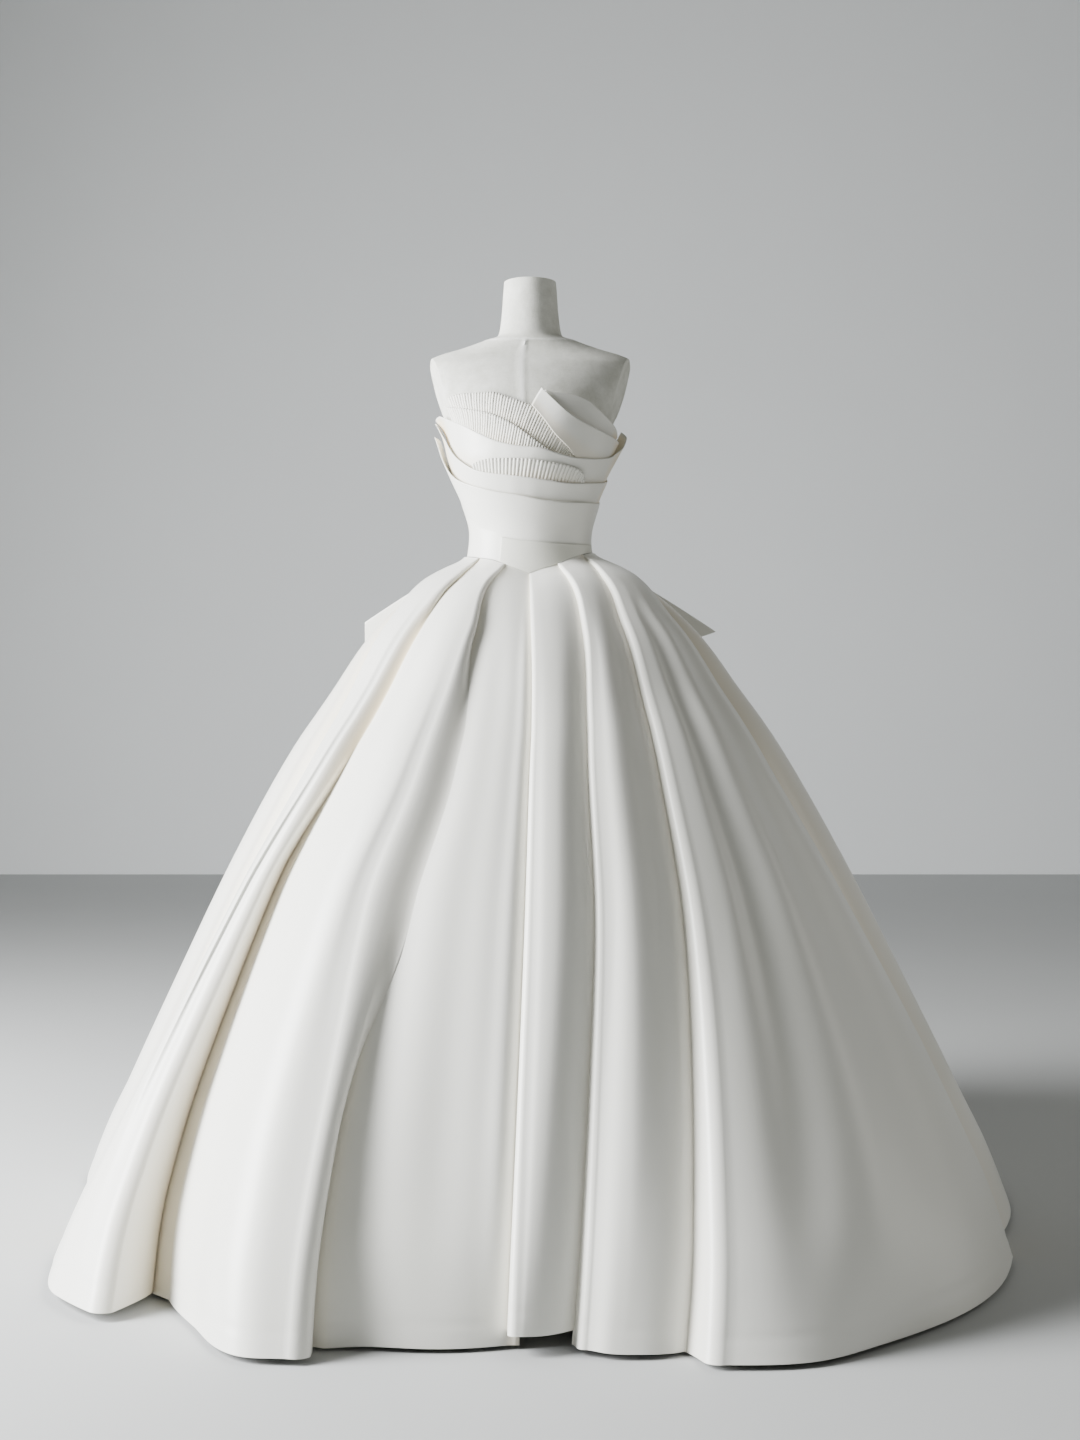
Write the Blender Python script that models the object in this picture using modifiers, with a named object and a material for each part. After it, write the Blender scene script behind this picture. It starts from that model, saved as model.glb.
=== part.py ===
# Strapless ball gown on a limbless dress form with a stand.
# Metres, +Z up. The origin is the centre of the stand's underside, and the gown's front faces -Y.
# An angle is measured round the form from the front, positive towards +X.

import math

import bmesh
import bpy
from mathutils import Vector

# Driving sizes
NECK_TOP = 1.670
WAIST_HEIGHT = 1.167
WAIST_RADIUS = 0.1165
SEAM_GAP = 0.0003
BODICE_CLOTH = 0.0014
SKIRT_CLOTH = 0.0018
BOW_CLOTH = 0.0016
RIB_HEIGHT = 0.0013
SKIRT_SHIFT_X = 0.010
SIDE_SEAM_ANGLE = 100.0
MIDRIFF_FLARE = 0.075
LAYER_FLARE = 1.6
GORE_TOP_GAP = 0.0014
BASQUE_GAP = 0.0009
GORE_STAND_OFF = 0.0028
WAIST_REACH = 1.02

FORM_SEGMENTS = 24
FORM_BOTTOM = 0.930
ARMHOLE_TOP_X = 0.1822
ARMHOLE_TOP_HEIGHT = 1.5235
ARMHOLE_SLOPE = 0.27
POLE_RADIUS = 0.014
BASE_RADIUS = 0.210
BASE_THICKNESS = 0.022
BASE_BEVEL = 0.004

# The form's rings: height, half width, depth of the front, depth of the back
FORM_RINGS = (
    (0.930, 0.150, 0.100, 0.118),
    (1.000, 0.158, 0.108, 0.125),
    (1.080, 0.145, 0.106, 0.112),
    (1.140, 0.122, 0.095, 0.088),
    (1.167, 0.113, 0.090, 0.080),
    (1.210, 0.108, 0.086, 0.074),
    (1.260, 0.1165, 0.094, 0.078),
    (1.310, 0.131, 0.110, 0.085),
    (1.345, 0.139, 0.120, 0.090),
    (1.380, 0.1435, 0.121, 0.094),
    (1.410, 0.153, 0.115, 0.096),
    (1.440, 0.170, 0.106, 0.097),
    (1.480, 0.190, 0.090, 0.094),
    (1.515, 0.197, 0.070, 0.085),
    (1.527, 0.186, 0.058, 0.072),
    (1.535, 0.170, 0.052, 0.066),
    (1.546, 0.132, 0.050, 0.060),
    (1.560, 0.090, 0.052, 0.058),
    (1.569, 0.062, 0.054, 0.058),
    (1.580, 0.057, 0.052, 0.055),
    (1.610, 0.053, 0.050, 0.052),
    (1.650, 0.050, 0.048, 0.049),
    (NECK_TOP, 0.0485, 0.047, 0.047),
)

# The seam that joins bodice and skirt: angle, height
WAIST_SEAM = (
    (-180.0, 1.168),
    (-90.0, 1.166),
    (-38.0, 1.156),
    (-24.0, 1.148),
    (-11.0, 1.137),
    (0.0, 1.128),
    (13.0, 1.139),
    (26.0, 1.149),
    (44.0, 1.162),
    (76.0, 1.172),
    (180.0, 1.168),
)

# How far the midriff's inner side lies off the form: height, lift
MIDRIFF_LIFT = (
    (1.120, 0.0014),
    (1.167, 0.0014),
    (1.210, 0.0026),
    (1.235, 0.0042),
    (1.265, 0.0070),
)

# The edges of each bodice layer: angle, height, lift of the inner side off the form
FAN_UPPER_TOP = (
    (-56.0, 1.448, 0.0017),
    (-44.5, 1.452, 0.0017),
    (-23.5, 1.452, 0.0017),
    (-12.0, 1.440, 0.0017),
    (0.0, 1.426, 0.0017),
    (12.0, 1.404, 0.0017),
    (21.0, 1.380, 0.0017),
    (31.5, 1.356, 0.0017),
    (39.5, 1.336, 0.0017),
)
FAN_UPPER_BOTTOM = (
    (-57.0, 1.404, 0.0016),
    (-40.0, 1.394, 0.0016),
    (-24.0, 1.380, 0.0016),
    (-9.0, 1.356, 0.0016),
    (4.0, 1.332, 0.0016),
    (14.0, 1.316, 0.0016),
    (23.0, 1.311, 0.0016),
    (30.0, 1.311, 0.0016),
)
FAN_LOWER_TOP = (
    (-60.5, 1.432, 0.0054),
    (-40.0, 1.422, 0.0054),
    (-26.5, 1.412, 0.0054),
    (-10.0, 1.388, 0.0054),
    (3.5, 1.362, 0.0054),
    (14.0, 1.344, 0.0054),
    (22.0, 1.334, 0.0054),
)
FAN_LOWER_BOTTOM = (
    (-62.0, 1.386, 0.0052),
    (-43.0, 1.366, 0.0054),
    (-25.0, 1.342, 0.0054),
    (-9.0, 1.326, 0.0054),
    (3.0, 1.318, 0.0054),
    (12.0, 1.314, 0.0054),
    (19.0, 1.312, 0.0054),
)
LAPEL_BACK_TOP = (
    (8.0, 1.452, 0.0180),
    (10.0, 1.4505, 0.0180),
    (24.5, 1.445, 0.0160),
    (34.5, 1.437, 0.0150),
    (43.5, 1.424, 0.0150),
    (59.0, 1.406, 0.0150),
    (74.5, 1.394, 0.0150),
    (84.0, 1.384, 0.0150),
)
LAPEL_BACK_BOTTOM = (
    (5.0, 1.432, 0.0092),
    (12.0, 1.412, 0.0084),
    (24.0, 1.384, 0.0060),
    (38.0, 1.356, 0.0020),
    (56.0, 1.349, 0.0006),
    (72.0, 1.349, 0.0006),
    (82.0, 1.352, 0.0006),
)
LAPEL_FRONT_TOP = (
    (6.0, 1.4545, 0.0215),
    (17.0, 1.424, 0.0200),
    (26.5, 1.406, 0.0190),
    (37.5, 1.393, 0.0190),
    (50.5, 1.384, 0.0190),
    (66.0, 1.378, 0.0190),
    (84.0, 1.374, 0.0200),
)
LAPEL_FRONT_BOTTOM = (
    (1.0, 1.424, 0.0130),
    (9.0, 1.398, 0.0104),
    (17.0, 1.372, 0.0098),
    (27.0, 1.350, 0.0096),
    (37.0, 1.328, 0.0090),
    (56.0, 1.318, 0.0088),
    (80.0, 1.322, 0.0088),
)
DRAPE_UPPER_TOP = (
    (-94.0, 1.418, 0.0165),
    (-88.0, 1.421, 0.0130),
    (-82.0, 1.422, 0.0090),
    (-74.5, 1.418, 0.0080),
    (-52.0, 1.397, 0.0090),
    (-35.5, 1.376, 0.0090),
    (-20.5, 1.359, 0.0095),
    (-7.0, 1.351, 0.0100),
    (7.0, 1.347, 0.0128),
    (21.0, 1.338, 0.0136),
    (33.0, 1.333, 0.0138),
    (47.0, 1.334, 0.0140),
    (68.0, 1.342, 0.0160),
    (84.0, 1.362, 0.0250),
    (90.0, 1.382, 0.0310),
    (98.0, 1.388, 0.0280),
)
DRAPE_UPPER_BOTTOM = (
    (-98.0, 1.372, 0.0074),
    (-86.0, 1.352, 0.0074),
    (-72.0, 1.338, 0.0074),
    (-56.0, 1.312, 0.0074),
    (-36.0, 1.290, 0.0074),
    (-8.0, 1.276, 0.0074),
    (20.0, 1.270, 0.0074),
    (48.0, 1.272, 0.0070),
    (72.0, 1.276, 0.0050),
    (98.0, 1.292, 0.0040),
)
INSET_TOP = (
    (-44.0, 1.324, 0.0118),
    (-36.0, 1.329, 0.0120),
    (-27.5, 1.331, 0.0122),
    (-7.0, 1.329, 0.0128),
    (14.0, 1.323, 0.0144),
    (34.5, 1.315, 0.0144),
    (40.5, 1.307, 0.0142),
    (43.5, 1.292, 0.0126),
)
INSET_BOTTOM = (
    (-44.0, 1.300, 0.0096),
    (-34.0, 1.292, 0.0100),
    (-20.0, 1.288, 0.0100),
    (0.0, 1.282, 0.0100),
    (20.0, 1.276, 0.0100),
    (36.0, 1.275, 0.0100),
    (44.0, 1.276, 0.0100),
)
DRAPE_MIDDLE_TOP = (
    (-98.0, 1.414, 0.0185),
    (-91.0, 1.412, 0.0195),
    (-84.0, 1.396, 0.0180),
    (-72.0, 1.368, 0.0160),
    (-61.0, 1.342, 0.0155),
    (-49.5, 1.324, 0.0155),
    (-40.5, 1.313, 0.0155),
    (-29.0, 1.306, 0.0160),
    (-8.5, 1.299, 0.0160),
    (11.5, 1.293, 0.0160),
    (30.5, 1.289, 0.0160),
    (49.5, 1.292, 0.0155),
    (67.5, 1.297, 0.0140),
    (84.0, 1.304, 0.0115),
    (98.0, 1.312, 0.0095),
)
DRAPE_MIDDLE_BOTTOM = (
    (-98.0, 1.352, 0.0096),
    (-84.0, 1.318, 0.0096),
    (-70.0, 1.292, 0.0096),
    (-54.0, 1.266, 0.0094),
    (-36.0, 1.252, 0.0092),
    (-8.0, 1.240, 0.0090),
    (20.0, 1.232, 0.0088),
    (48.0, 1.232, 0.0076),
    (74.0, 1.236, 0.0050),
    (98.0, 1.242, 0.0044),
)
MIDRIFF_TOP = (
    (-98.0, 1.384, 0.0235),
    (-92.0, 1.388, 0.0295),
    (-88.0, 1.374, 0.0275),
    (-84.0, 1.350, 0.0235),
    (-78.0, 1.326, 0.0200),
    (-65.0, 1.303, 0.0180),
    (-51.0, 1.290, 0.0175),
    (-39.5, 1.282, 0.0175),
    (-26.0, 1.274, 0.0175),
    (-7.5, 1.266, 0.0170),
    (11.5, 1.258, 0.0170),
    (28.5, 1.256, 0.0165),
    (50.0, 1.258, 0.0150),
    (70.5, 1.261, 0.0110),
    (86.0, 1.266, 0.0088),
    (98.0, 1.270, 0.0085),
)
BASQUE_TOP = (
    (-26.5, 1.196),
    (-9.0, 1.189),
    (13.0, 1.185),
    (32.5, 1.183),
    (72.0, 1.187),
)
BASQUE_ANGLES = (-26.5, 72.0)

# The back's top edge: angle from centre back, height
BACK_TOP = (
    (0.0, 1.338),
    (40.0, 1.350),
    (80.0, 1.372),
)

# The skirt's outline at the sides: height, radius
SKIRT_PROFILE = (
    (0.000, 0.826),
    (0.110, 0.786),
    (0.207, 0.740),
    (0.420, 0.638),
    (0.630, 0.535),
    (0.815, 0.433),
    (0.920, 0.362),
    (1.016, 0.297),
    (1.085, 0.230),
    (1.122, 0.181),
    (1.142, 0.147),
    (1.151, 0.130),
    (1.158, 0.1210),
    (1.163, 0.1175),
    (WAIST_HEIGHT, WAIST_RADIUS),
)
# How much of the hem's folds show at a height: height, share
FOLD_GROWTH = (
    (0.000, 1.00),
    (0.300, 0.76),
    (0.600, 0.50),
    (0.900, 0.28),
    (1.080, 0.12),
    (1.140, 0.04),
    (WAIST_HEIGHT, 0.00),
)
SKIRT_ROWS = (
    WAIST_HEIGHT, 1.162, 1.156, 1.146, 1.130, 1.105, 1.065, 1.000,
    0.900, 0.780, 0.640, 0.490, 0.340, 0.210, 0.100, 0.000,
)
FOLD_HEIGHTS = (1.155, 1.12, 1.04, 0.80, 0.60, 0.32, 0.0)

# The folds between gores: angles at the fold heights from the waist to the hem,
# side (+1 where the gore at greater angles lies over, -1 where the other does),
# and how far the fold turns back under itself at the hem
FOLDS = (
    {"angles": (-88, -80, -67, -60, -63, -67, -70), "over": 1, "turn": 0.02},
    {"angles": (-56, -45, -42, -43, -44, -45, -41), "over": -1, "turn": 0.04},
    {"angles": (-26, -24, -20, -20.5, -23, -22.5, -20), "over": -1, "turn": 0.03},
    {"angles": (0, 0, 0, -1, -1.4, -2, -2.6), "over": 1, "turn": 0.02},
    {"angles": (29, 24, 18.5, 11.5, 10, 7, 4.2), "over": 1, "turn": 0.02},
    {"angles": (60, 45, 34.5, 27, 24.5, 20, 15), "over": 1, "turn": 0.03},
    {"angles": (87, 76, 62, 59.5, 62.5, 66, 63), "over": -1, "turn": 0.03},
    {"angles": (118, 114, 108, 102, 101, 100, 99), "over": -1, "turn": 0.02},
    {"angles": (149, 147, 144, 141, 140, 139, 138), "over": -1, "turn": 0.02},
    {"angles": (180, 180, 180, 180, 180, 180, 180), "over": -1, "turn": 0.02},
    {"angles": (211, 213, 216, 219, 220, 221, 222), "over": 1, "turn": 0.02},
    {"angles": (242, 246, 252, 258, 259, 260, 261), "over": 1, "turn": 0.02},
)
# Each gore: the radii along its hem with the share of its width, the roundness between its folds
# above the hem, and how high the hem's cut hangs
GORES = (
    {"hem": ((0.0, 0.832), (0.3, 0.872), (0.7, 0.926), (1.0, 0.926)), "bulge": 0.008, "hem_height": 0.010},
    {"hem": ((0.0, 0.810), (0.35, 0.860), (0.75, 0.918), (1.0, 0.900)), "bulge": 0.012, "hem_height": 0.006},
    {"hem": ((0.0, 0.850), (0.25, 0.822), (0.6, 0.812), (1.0, 0.786)), "bulge": 0.008, "hem_height": 0.006},
    {"hem": ((0.0, 0.815), (0.4, 0.812), (1.0, 0.784)), "bulge": 0.010, "hem_height": 0.026},
    {"hem": ((0.0, 0.806), (0.4, 0.830), (0.8, 0.838), (1.0, 0.832)), "bulge": 0.010, "hem_height": 0.006},
    {
        "hem": ((0.0, 0.890), (0.2, 0.922), (0.35, 0.911), (0.6, 0.900), (1.0, 0.856)),
        "bulge": 0.006,
        "hem_height": 0.004,
    },
    {"hem": ((0.0, 0.815), (0.4, 0.838), (0.8, 0.856), (1.0, 0.862)), "bulge": 0.002, "hem_height": 0.006},
    {"hem": ((0.0, 0.828), (0.5, 0.872), (1.0, 0.880)), "bulge": 0.010, "hem_height": 0.006},
    {"hem": ((0.0, 0.842), (0.5, 0.885), (1.0, 0.878)), "bulge": 0.010, "hem_height": 0.006},
    {"hem": ((0.0, 0.846), (0.5, 0.885), (1.0, 0.842)), "bulge": 0.010, "hem_height": 0.006},
    {"hem": ((0.0, 0.880), (0.5, 0.868), (1.0, 0.820)), "bulge": 0.008, "hem_height": 0.006},
    {"hem": ((0.0, 0.852), (0.3, 0.820), (0.8, 0.800), (1.0, 0.796)), "bulge": 0.002, "hem_height": 0.006},
)
GORE_COLUMNS = (6, 5)
LAST_FRONT_GORE = 5
HIDDEN_WIDTH = 0.020
LAYER_LIFT = 0.0070
LAYER_REACH = 0.05
FOOT_LIFT = 0.0037
HEM_RADIUS = SKIRT_PROFILE[0][1]

# The bow: how far each loop's tip stands from the centre, the height of its upper corner, and how
# far its lower corner draws in
BOW_LOOPS = (
    {"name": "bow_loop_left", "side": -1, "reach": 0.318, "tip": 1.056, "slant": 0.0},
    {"name": "bow_loop_right", "side": 1, "reach": 0.356, "tip": 1.038, "slant": 0.125},
)
KNOT_HALF_WIDTH = 0.030
KNOT_HALF_HEIGHT = 0.024
KNOT_DEPTH = 0.036
KNOT_HEIGHT = 1.196
KNOT_ROUNDING = 0.010
LOOP_HEIGHT = 0.130
LOOP_PUFF = 0.045

COLOURS = {
    "satin": ((0.86, 0.84, 0.78), 0.38),
    "pleated": ((0.87, 0.84, 0.76), 0.50),
    "linen": ((0.76, 0.75, 0.72), 0.85),
    "steel": ((0.72, 0.72, 0.72), 0.35),
}


def smooth_row(rows, at):
    """The other columns of a table at one value of its first column, on a curve with no overshoot."""
    at = min(max(at, rows[0][0]), rows[-1][0])
    last = len(rows) - 1
    index = 0
    while index < last - 1 and rows[index + 1][0] < at:
        index += 1
    width = rows[index + 1][0] - rows[index][0]
    share = (at - rows[index][0]) / width

    def slope(knot, column):
        if knot in (0, last):
            return 0.0 if last > 1 else (rows[1][column] - rows[0][column]) / width
        before = (rows[knot][column] - rows[knot - 1][column]) / (rows[knot][0] - rows[knot - 1][0])
        after = (rows[knot + 1][column] - rows[knot][column]) / (rows[knot + 1][0] - rows[knot][0])
        return 0.0 if before * after <= 0 else 2 * before * after / (before + after)

    def end_slope(knot, column):
        if knot == 0 and last > 1:
            near = (rows[1][column] - rows[0][column]) / (rows[1][0] - rows[0][0])
            return 1.5 * near - 0.5 * slope(1, column)
        if knot == last and last > 1:
            near = (rows[last][column] - rows[last - 1][column]) / (rows[last][0] - rows[last - 1][0])
            return 1.5 * near - 0.5 * slope(last - 1, column)
        return slope(knot, column)

    values = []
    for column in range(1, len(rows[0])):
        start = rows[index][column]
        end = rows[index + 1][column]
        first = end_slope(index, column) * width
        second = end_slope(index + 1, column) * width
        cubic = (2 * start - 2 * end + first + second) * share**3
        square = (-3 * start + 3 * end - 2 * first - second) * share**2
        values.append(cubic + square + first * share + start)
    return values


def blend(first, second, share):
    return first + (second - first) * share


def form_point(angle, height, lift):
    """A point off the form's surface, at an angle in degrees and a height."""
    half_width, front, back = smooth_row(FORM_RINGS, height)
    turn = math.radians(angle)
    depth = front if math.cos(turn) > 0 else back
    return Vector((
        (half_width + lift) * math.sin(turn),
        -(depth + lift) * math.cos(turn),
        height,
    ))


def spaced(rows):
    """An edge's rows with the share of the edge's length put before them."""
    lengths = [0.0]
    for before, after in zip(rows, rows[1:]):
        lengths.append(lengths[-1] + (form_point(*after) - form_point(*before)).length)
    return [(length / lengths[-1], *row) for length, row in zip(lengths, rows)]


def waist_seam(angle):
    return smooth_row(WAIST_SEAM, (angle + 180) % 360 - 180)[0]


def midriff_lift(angle, height):
    """How far the midriff's inner side lies off the form, with the flare of its top edge."""
    close = smooth_row(MIDRIFF_LIFT, height)[0]
    if abs(angle) > SIDE_SEAM_ANGLE:
        return close
    top, rim_lift = smooth_row(MIDRIFF_TOP, angle)
    return blend(close, rim_lift, max(0.0, 1.0 - (top - height) / MIDRIFF_FLARE))


def plain_material(name, kind):
    colour, roughness = COLOURS[kind]
    material = bpy.data.materials.new(name)
    material.use_nodes = True
    shader = material.node_tree.nodes["Principled BSDF"]
    shader.inputs["Base Color"].default_value = (*colour, 1.0)
    shader.inputs["Roughness"].default_value = roughness
    shader.inputs["Metallic"].default_value = 1.0 if kind == "steel" else 0.0
    return material


def add_object(name, mesh, kind, smooth_angle=50.0):
    mesh.shade_smooth()
    mesh.set_sharp_from_angle(angle=math.radians(smooth_angle))
    obj = bpy.data.objects.new(name, mesh)
    obj.data.materials.append(plain_material(name, kind))
    gown.objects.link(obj)
    return obj


def cloth_wall(name, columns, rows, inner, outer, kind):
    """A closed wall between two mapped sheets. Both take the share across and the share up."""
    bm = bmesh.new()
    bmesh.ops.create_grid(bm, x_segments=columns, y_segments=rows, size=0.5)
    across = bm.verts.layers.float.new("across")
    up = bm.verts.layers.float.new("up")
    for vert in bm.verts:
        vert[across] = vert.co.x + 0.5
        vert[up] = vert.co.y + 0.5
    sheet = list(bm.verts) + list(bm.edges) + list(bm.faces)
    made = bmesh.ops.extrude_face_region(bm, geom=sheet, use_keep_orig=True)
    lifted = {item for item in made["geom"] if isinstance(item, bmesh.types.BMVert)}
    for vert in bm.verts:
        place = outer if vert in lifted else inner
        vert.co = place(vert[across], vert[up])
    bmesh.ops.recalc_face_normals(bm, faces=bm.faces)
    mesh = bpy.data.meshes.new(name)
    bm.to_mesh(mesh)
    bm.free()
    return add_object(name, mesh, kind)


def form_layer(name, bottom, top, columns, rows, kind="satin", ribbed=False):
    """A bodice layer between two edges on the form, with its pleats raised on the outside only."""
    bottom_rows = spaced(bottom)
    top_rows = spaced(top)

    def place(share, height_share, thickness):
        low = smooth_row(bottom_rows, share)
        high = smooth_row(top_rows, share)
        angle = blend(low[0], high[0], height_share)
        height = blend(low[1], high[1], height_share)
        lift = blend(low[2], high[2], height_share**LAYER_FLARE)
        return form_point(angle, height, lift + thickness)

    def outer(share, height_share):
        column = round(share * columns)
        rib = RIB_HEIGHT if ribbed and column % 2 else 0.0
        return place(share, height_share, BODICE_CLOTH + rib)

    return cloth_wall(name, columns, rows, lambda u, v: place(u, v, 0.0), outer, kind)


def build_form():
    """The torso and neck, turned from rings, with a flat plate cut at each armhole."""
    rings = len(FORM_RINGS)
    bm = bmesh.new()
    bmesh.ops.create_grid(bm, x_segments=FORM_SEGMENTS, y_segments=rings - 1, size=0.5)
    for vert in bm.verts:
        ring = FORM_RINGS[round((vert.co.y + 0.5) * (rings - 1))]
        angle = 360.0 * (vert.co.x + 0.5) - 180.0
        vert.co = form_point(angle, ring[0], 0.0)
    bmesh.ops.remove_doubles(bm, verts=bm.verts, dist=1e-5)
    bmesh.ops.holes_fill(bm, edges=bm.edges)
    for side in (-1, 1):
        cut = bmesh.ops.bisect_plane(
            bm,
            geom=list(bm.verts) + list(bm.edges) + list(bm.faces),
            plane_co=(side * ARMHOLE_TOP_X, 0.0, ARMHOLE_TOP_HEIGHT),
            plane_no=(side, 0.0, -ARMHOLE_SLOPE),
            clear_outer=True,
            dist=1e-5,
        )
        edges = [item for item in cut["geom_cut"] if isinstance(item, bmesh.types.BMEdge)]
        bmesh.ops.holes_fill(bm, edges=edges)
    bmesh.ops.remove_doubles(bm, verts=bm.verts, dist=2e-4)
    bmesh.ops.recalc_face_normals(bm, faces=bm.faces)
    mesh = bpy.data.meshes.new("dress_form")
    bm.to_mesh(mesh)
    bm.free()
    add_object("dress_form", mesh, "linen", 40.0)


def build_turned(name, radius, low, high, segments, bevel):
    bpy.ops.mesh.primitive_cylinder_add(vertices=segments, radius=radius, depth=high - low)
    obj = bpy.context.object
    obj.name = name
    obj.data.name = name
    obj.location = (0.0, 0.0, (low + high) / 2)
    for collection in list(obj.users_collection):
        collection.objects.unlink(obj)
    gown.objects.link(obj)
    obj.data.materials.append(plain_material(name, "steel"))
    obj.data.shade_smooth()
    obj.data.set_sharp_from_angle(angle=math.radians(30.0))
    if bevel:
        rounding = obj.modifiers.new("edge", "BEVEL")
        rounding.width = bevel
        rounding.segments = 2
        rounding.limit_method = "ANGLE"


def build_bodice():
    form_layer("fan_upper", FAN_UPPER_BOTTOM, FAN_UPPER_TOP, 104, 2, "pleated", ribbed=True)
    form_layer("fan_lower", FAN_LOWER_BOTTOM, FAN_LOWER_TOP, 88, 2, "pleated", ribbed=True)
    form_layer("lapel_back", LAPEL_BACK_BOTTOM, LAPEL_BACK_TOP, 14, 4)
    form_layer("lapel_front", LAPEL_FRONT_BOTTOM, LAPEL_FRONT_TOP, 14, 5)
    form_layer("drape_upper", DRAPE_UPPER_BOTTOM, DRAPE_UPPER_TOP, 30, 4)
    form_layer("pleat_inset", INSET_BOTTOM, INSET_TOP, 68, 2, "pleated", ribbed=True)
    form_layer("drape_middle", DRAPE_MIDDLE_BOTTOM, DRAPE_MIDDLE_TOP, 30, 4)
    build_midriff()
    build_basque()
    for name, side in (("bodice_back_left", -1), ("bodice_back_right", 1)):
        build_back(name, side)


def midriff_point(share, height_share, thickness):
    """The midriff from the waist seam to its flared top edge."""
    angle = smooth_row(spaced(MIDRIFF_TOP), share)[0]
    top = smooth_row(MIDRIFF_TOP, angle)[0]
    height = blend(waist_seam(angle) + SEAM_GAP, top, height_share)
    return form_point(angle, height, midriff_lift(angle, height) + thickness)


def build_midriff():
    cloth_wall(
        "bodice_front", 26, 7,
        lambda u, v: midriff_point(u, v, 0.0),
        lambda u, v: midriff_point(u, v, BODICE_CLOTH),
        "satin",
    )


def build_basque():
    def place(share, height_share, thickness):
        angle = blend(*BASQUE_ANGLES, share)
        top = smooth_row(BASQUE_TOP, angle)[0]
        height = blend(waist_seam(angle) + SEAM_GAP, top, height_share)
        lift = midriff_lift(angle, height) + BODICE_CLOTH + BASQUE_GAP
        return form_point(angle, height, lift + thickness)

    cloth_wall(
        "basque", 24, 4,
        lambda u, v: place(u, v, 0.0),
        lambda u, v: place(u, v, BODICE_CLOTH),
        "satin",
    )


def build_back(name, side):
    """A plain back half, from the side seam to the closing at centre back."""
    gap_angle = 0.15
    wide = 180.0 - SIDE_SEAM_ANGLE - gap_angle

    def place(share, height_share, thickness):
        from_centre = blend(gap_angle, wide, share)
        angle = side * (180.0 - from_centre)
        top = smooth_row(BACK_TOP, from_centre)[0]
        height = blend(waist_seam(angle) + SEAM_GAP, top, height_share)
        return form_point(angle, height, midriff_lift(angle, height) + thickness)

    cloth_wall(
        name, 10, 6,
        lambda u, v: place(u, v, 0.0),
        lambda u, v: place(u, v, BODICE_CLOTH),
        "satin",
    )


def fold_angle(fold, height):
    rows = [(h, a) for h, a in zip(reversed(FOLD_HEIGHTS), reversed(fold["angles"]))]
    return smooth_row(rows, height)[0]


def skirt_slope(height):
    """How fast the side outline widens with height, by a small difference."""
    step = 0.002
    above = smooth_row(SKIRT_PROFILE, height + step)[0]
    below = smooth_row(SKIRT_PROFILE, height - step)[0]
    return (above - below) / (2 * step)


def skirt_point(angle, nominal, hem_radius, lift):
    """A point of the skirt: its radius from the side outline, the waist's oval and the hem's folds.

    The nominal height runs from a level waist to the floor. The real one starts at the shaped
    waist seam.
    """
    turn = math.radians(angle)
    growth = smooth_row(FOLD_GROWTH, nominal)[0]
    radius = smooth_row(SKIRT_PROFILE, nominal)[0] * (1 + growth * (hem_radius / HEM_RADIUS - 1))
    half_width, front, back = smooth_row(FORM_RINGS, WAIST_HEIGHT)
    depth = front if math.cos(turn) > 0 else back
    oval_angle = math.degrees(math.atan2(math.sin(turn) / half_width, math.cos(turn) / depth))
    top = waist_seam(oval_angle) - GORE_TOP_GAP
    height = nominal * top / WAIST_HEIGHT
    half_width, front, back = smooth_row(FORM_RINGS, height)
    depth = front if math.cos(turn) > 0 else back
    form_radius = 1 / math.hypot(math.sin(turn) / half_width, math.cos(turn) / depth)
    near_waist = max(0.0, (nominal - WAIST_REACH) / (WAIST_HEIGHT - WAIST_REACH)) ** 3
    radius += (form_radius + GORE_STAND_OFF - WAIST_RADIUS) * near_waist
    radius = max(radius, form_radius + GORE_STAND_OFF)
    slope = skirt_slope(nominal) if nominal < SKIRT_ROWS[1] else 0.0
    steep = math.hypot(1.0, slope)
    radius += lift / steep
    height -= lift * slope / steep
    shift = SKIRT_SHIFT_X * min(1.0, 4 * (1.0 - nominal / WAIST_HEIGHT))
    return Vector((radius * math.sin(turn) + shift, -radius * math.cos(turn), height))


def gore_columns(inside, left, right):
    """Each column as its place across and its role at a fold: (share, fold side, role)."""
    columns = []
    if left["over"] > 0:
        columns += [(0.0, -1, "foot"), (0.0, -1, "turn"), (0.0, -1, "edge")]
    else:
        columns += [(0.0, -1, "hidden")]
    first = 0 if left["over"] < 0 else 1
    last = inside if right["over"] > 0 else inside - 1
    columns += [(step / inside, 0, "face") for step in range(first, last + 1)]
    if right["over"] < 0:
        columns += [(1.0, 1, "edge"), (1.0, 1, "turn"), (1.0, 1, "foot")]
    else:
        columns += [(1.0, 1, "hidden")]
    return columns


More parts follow.
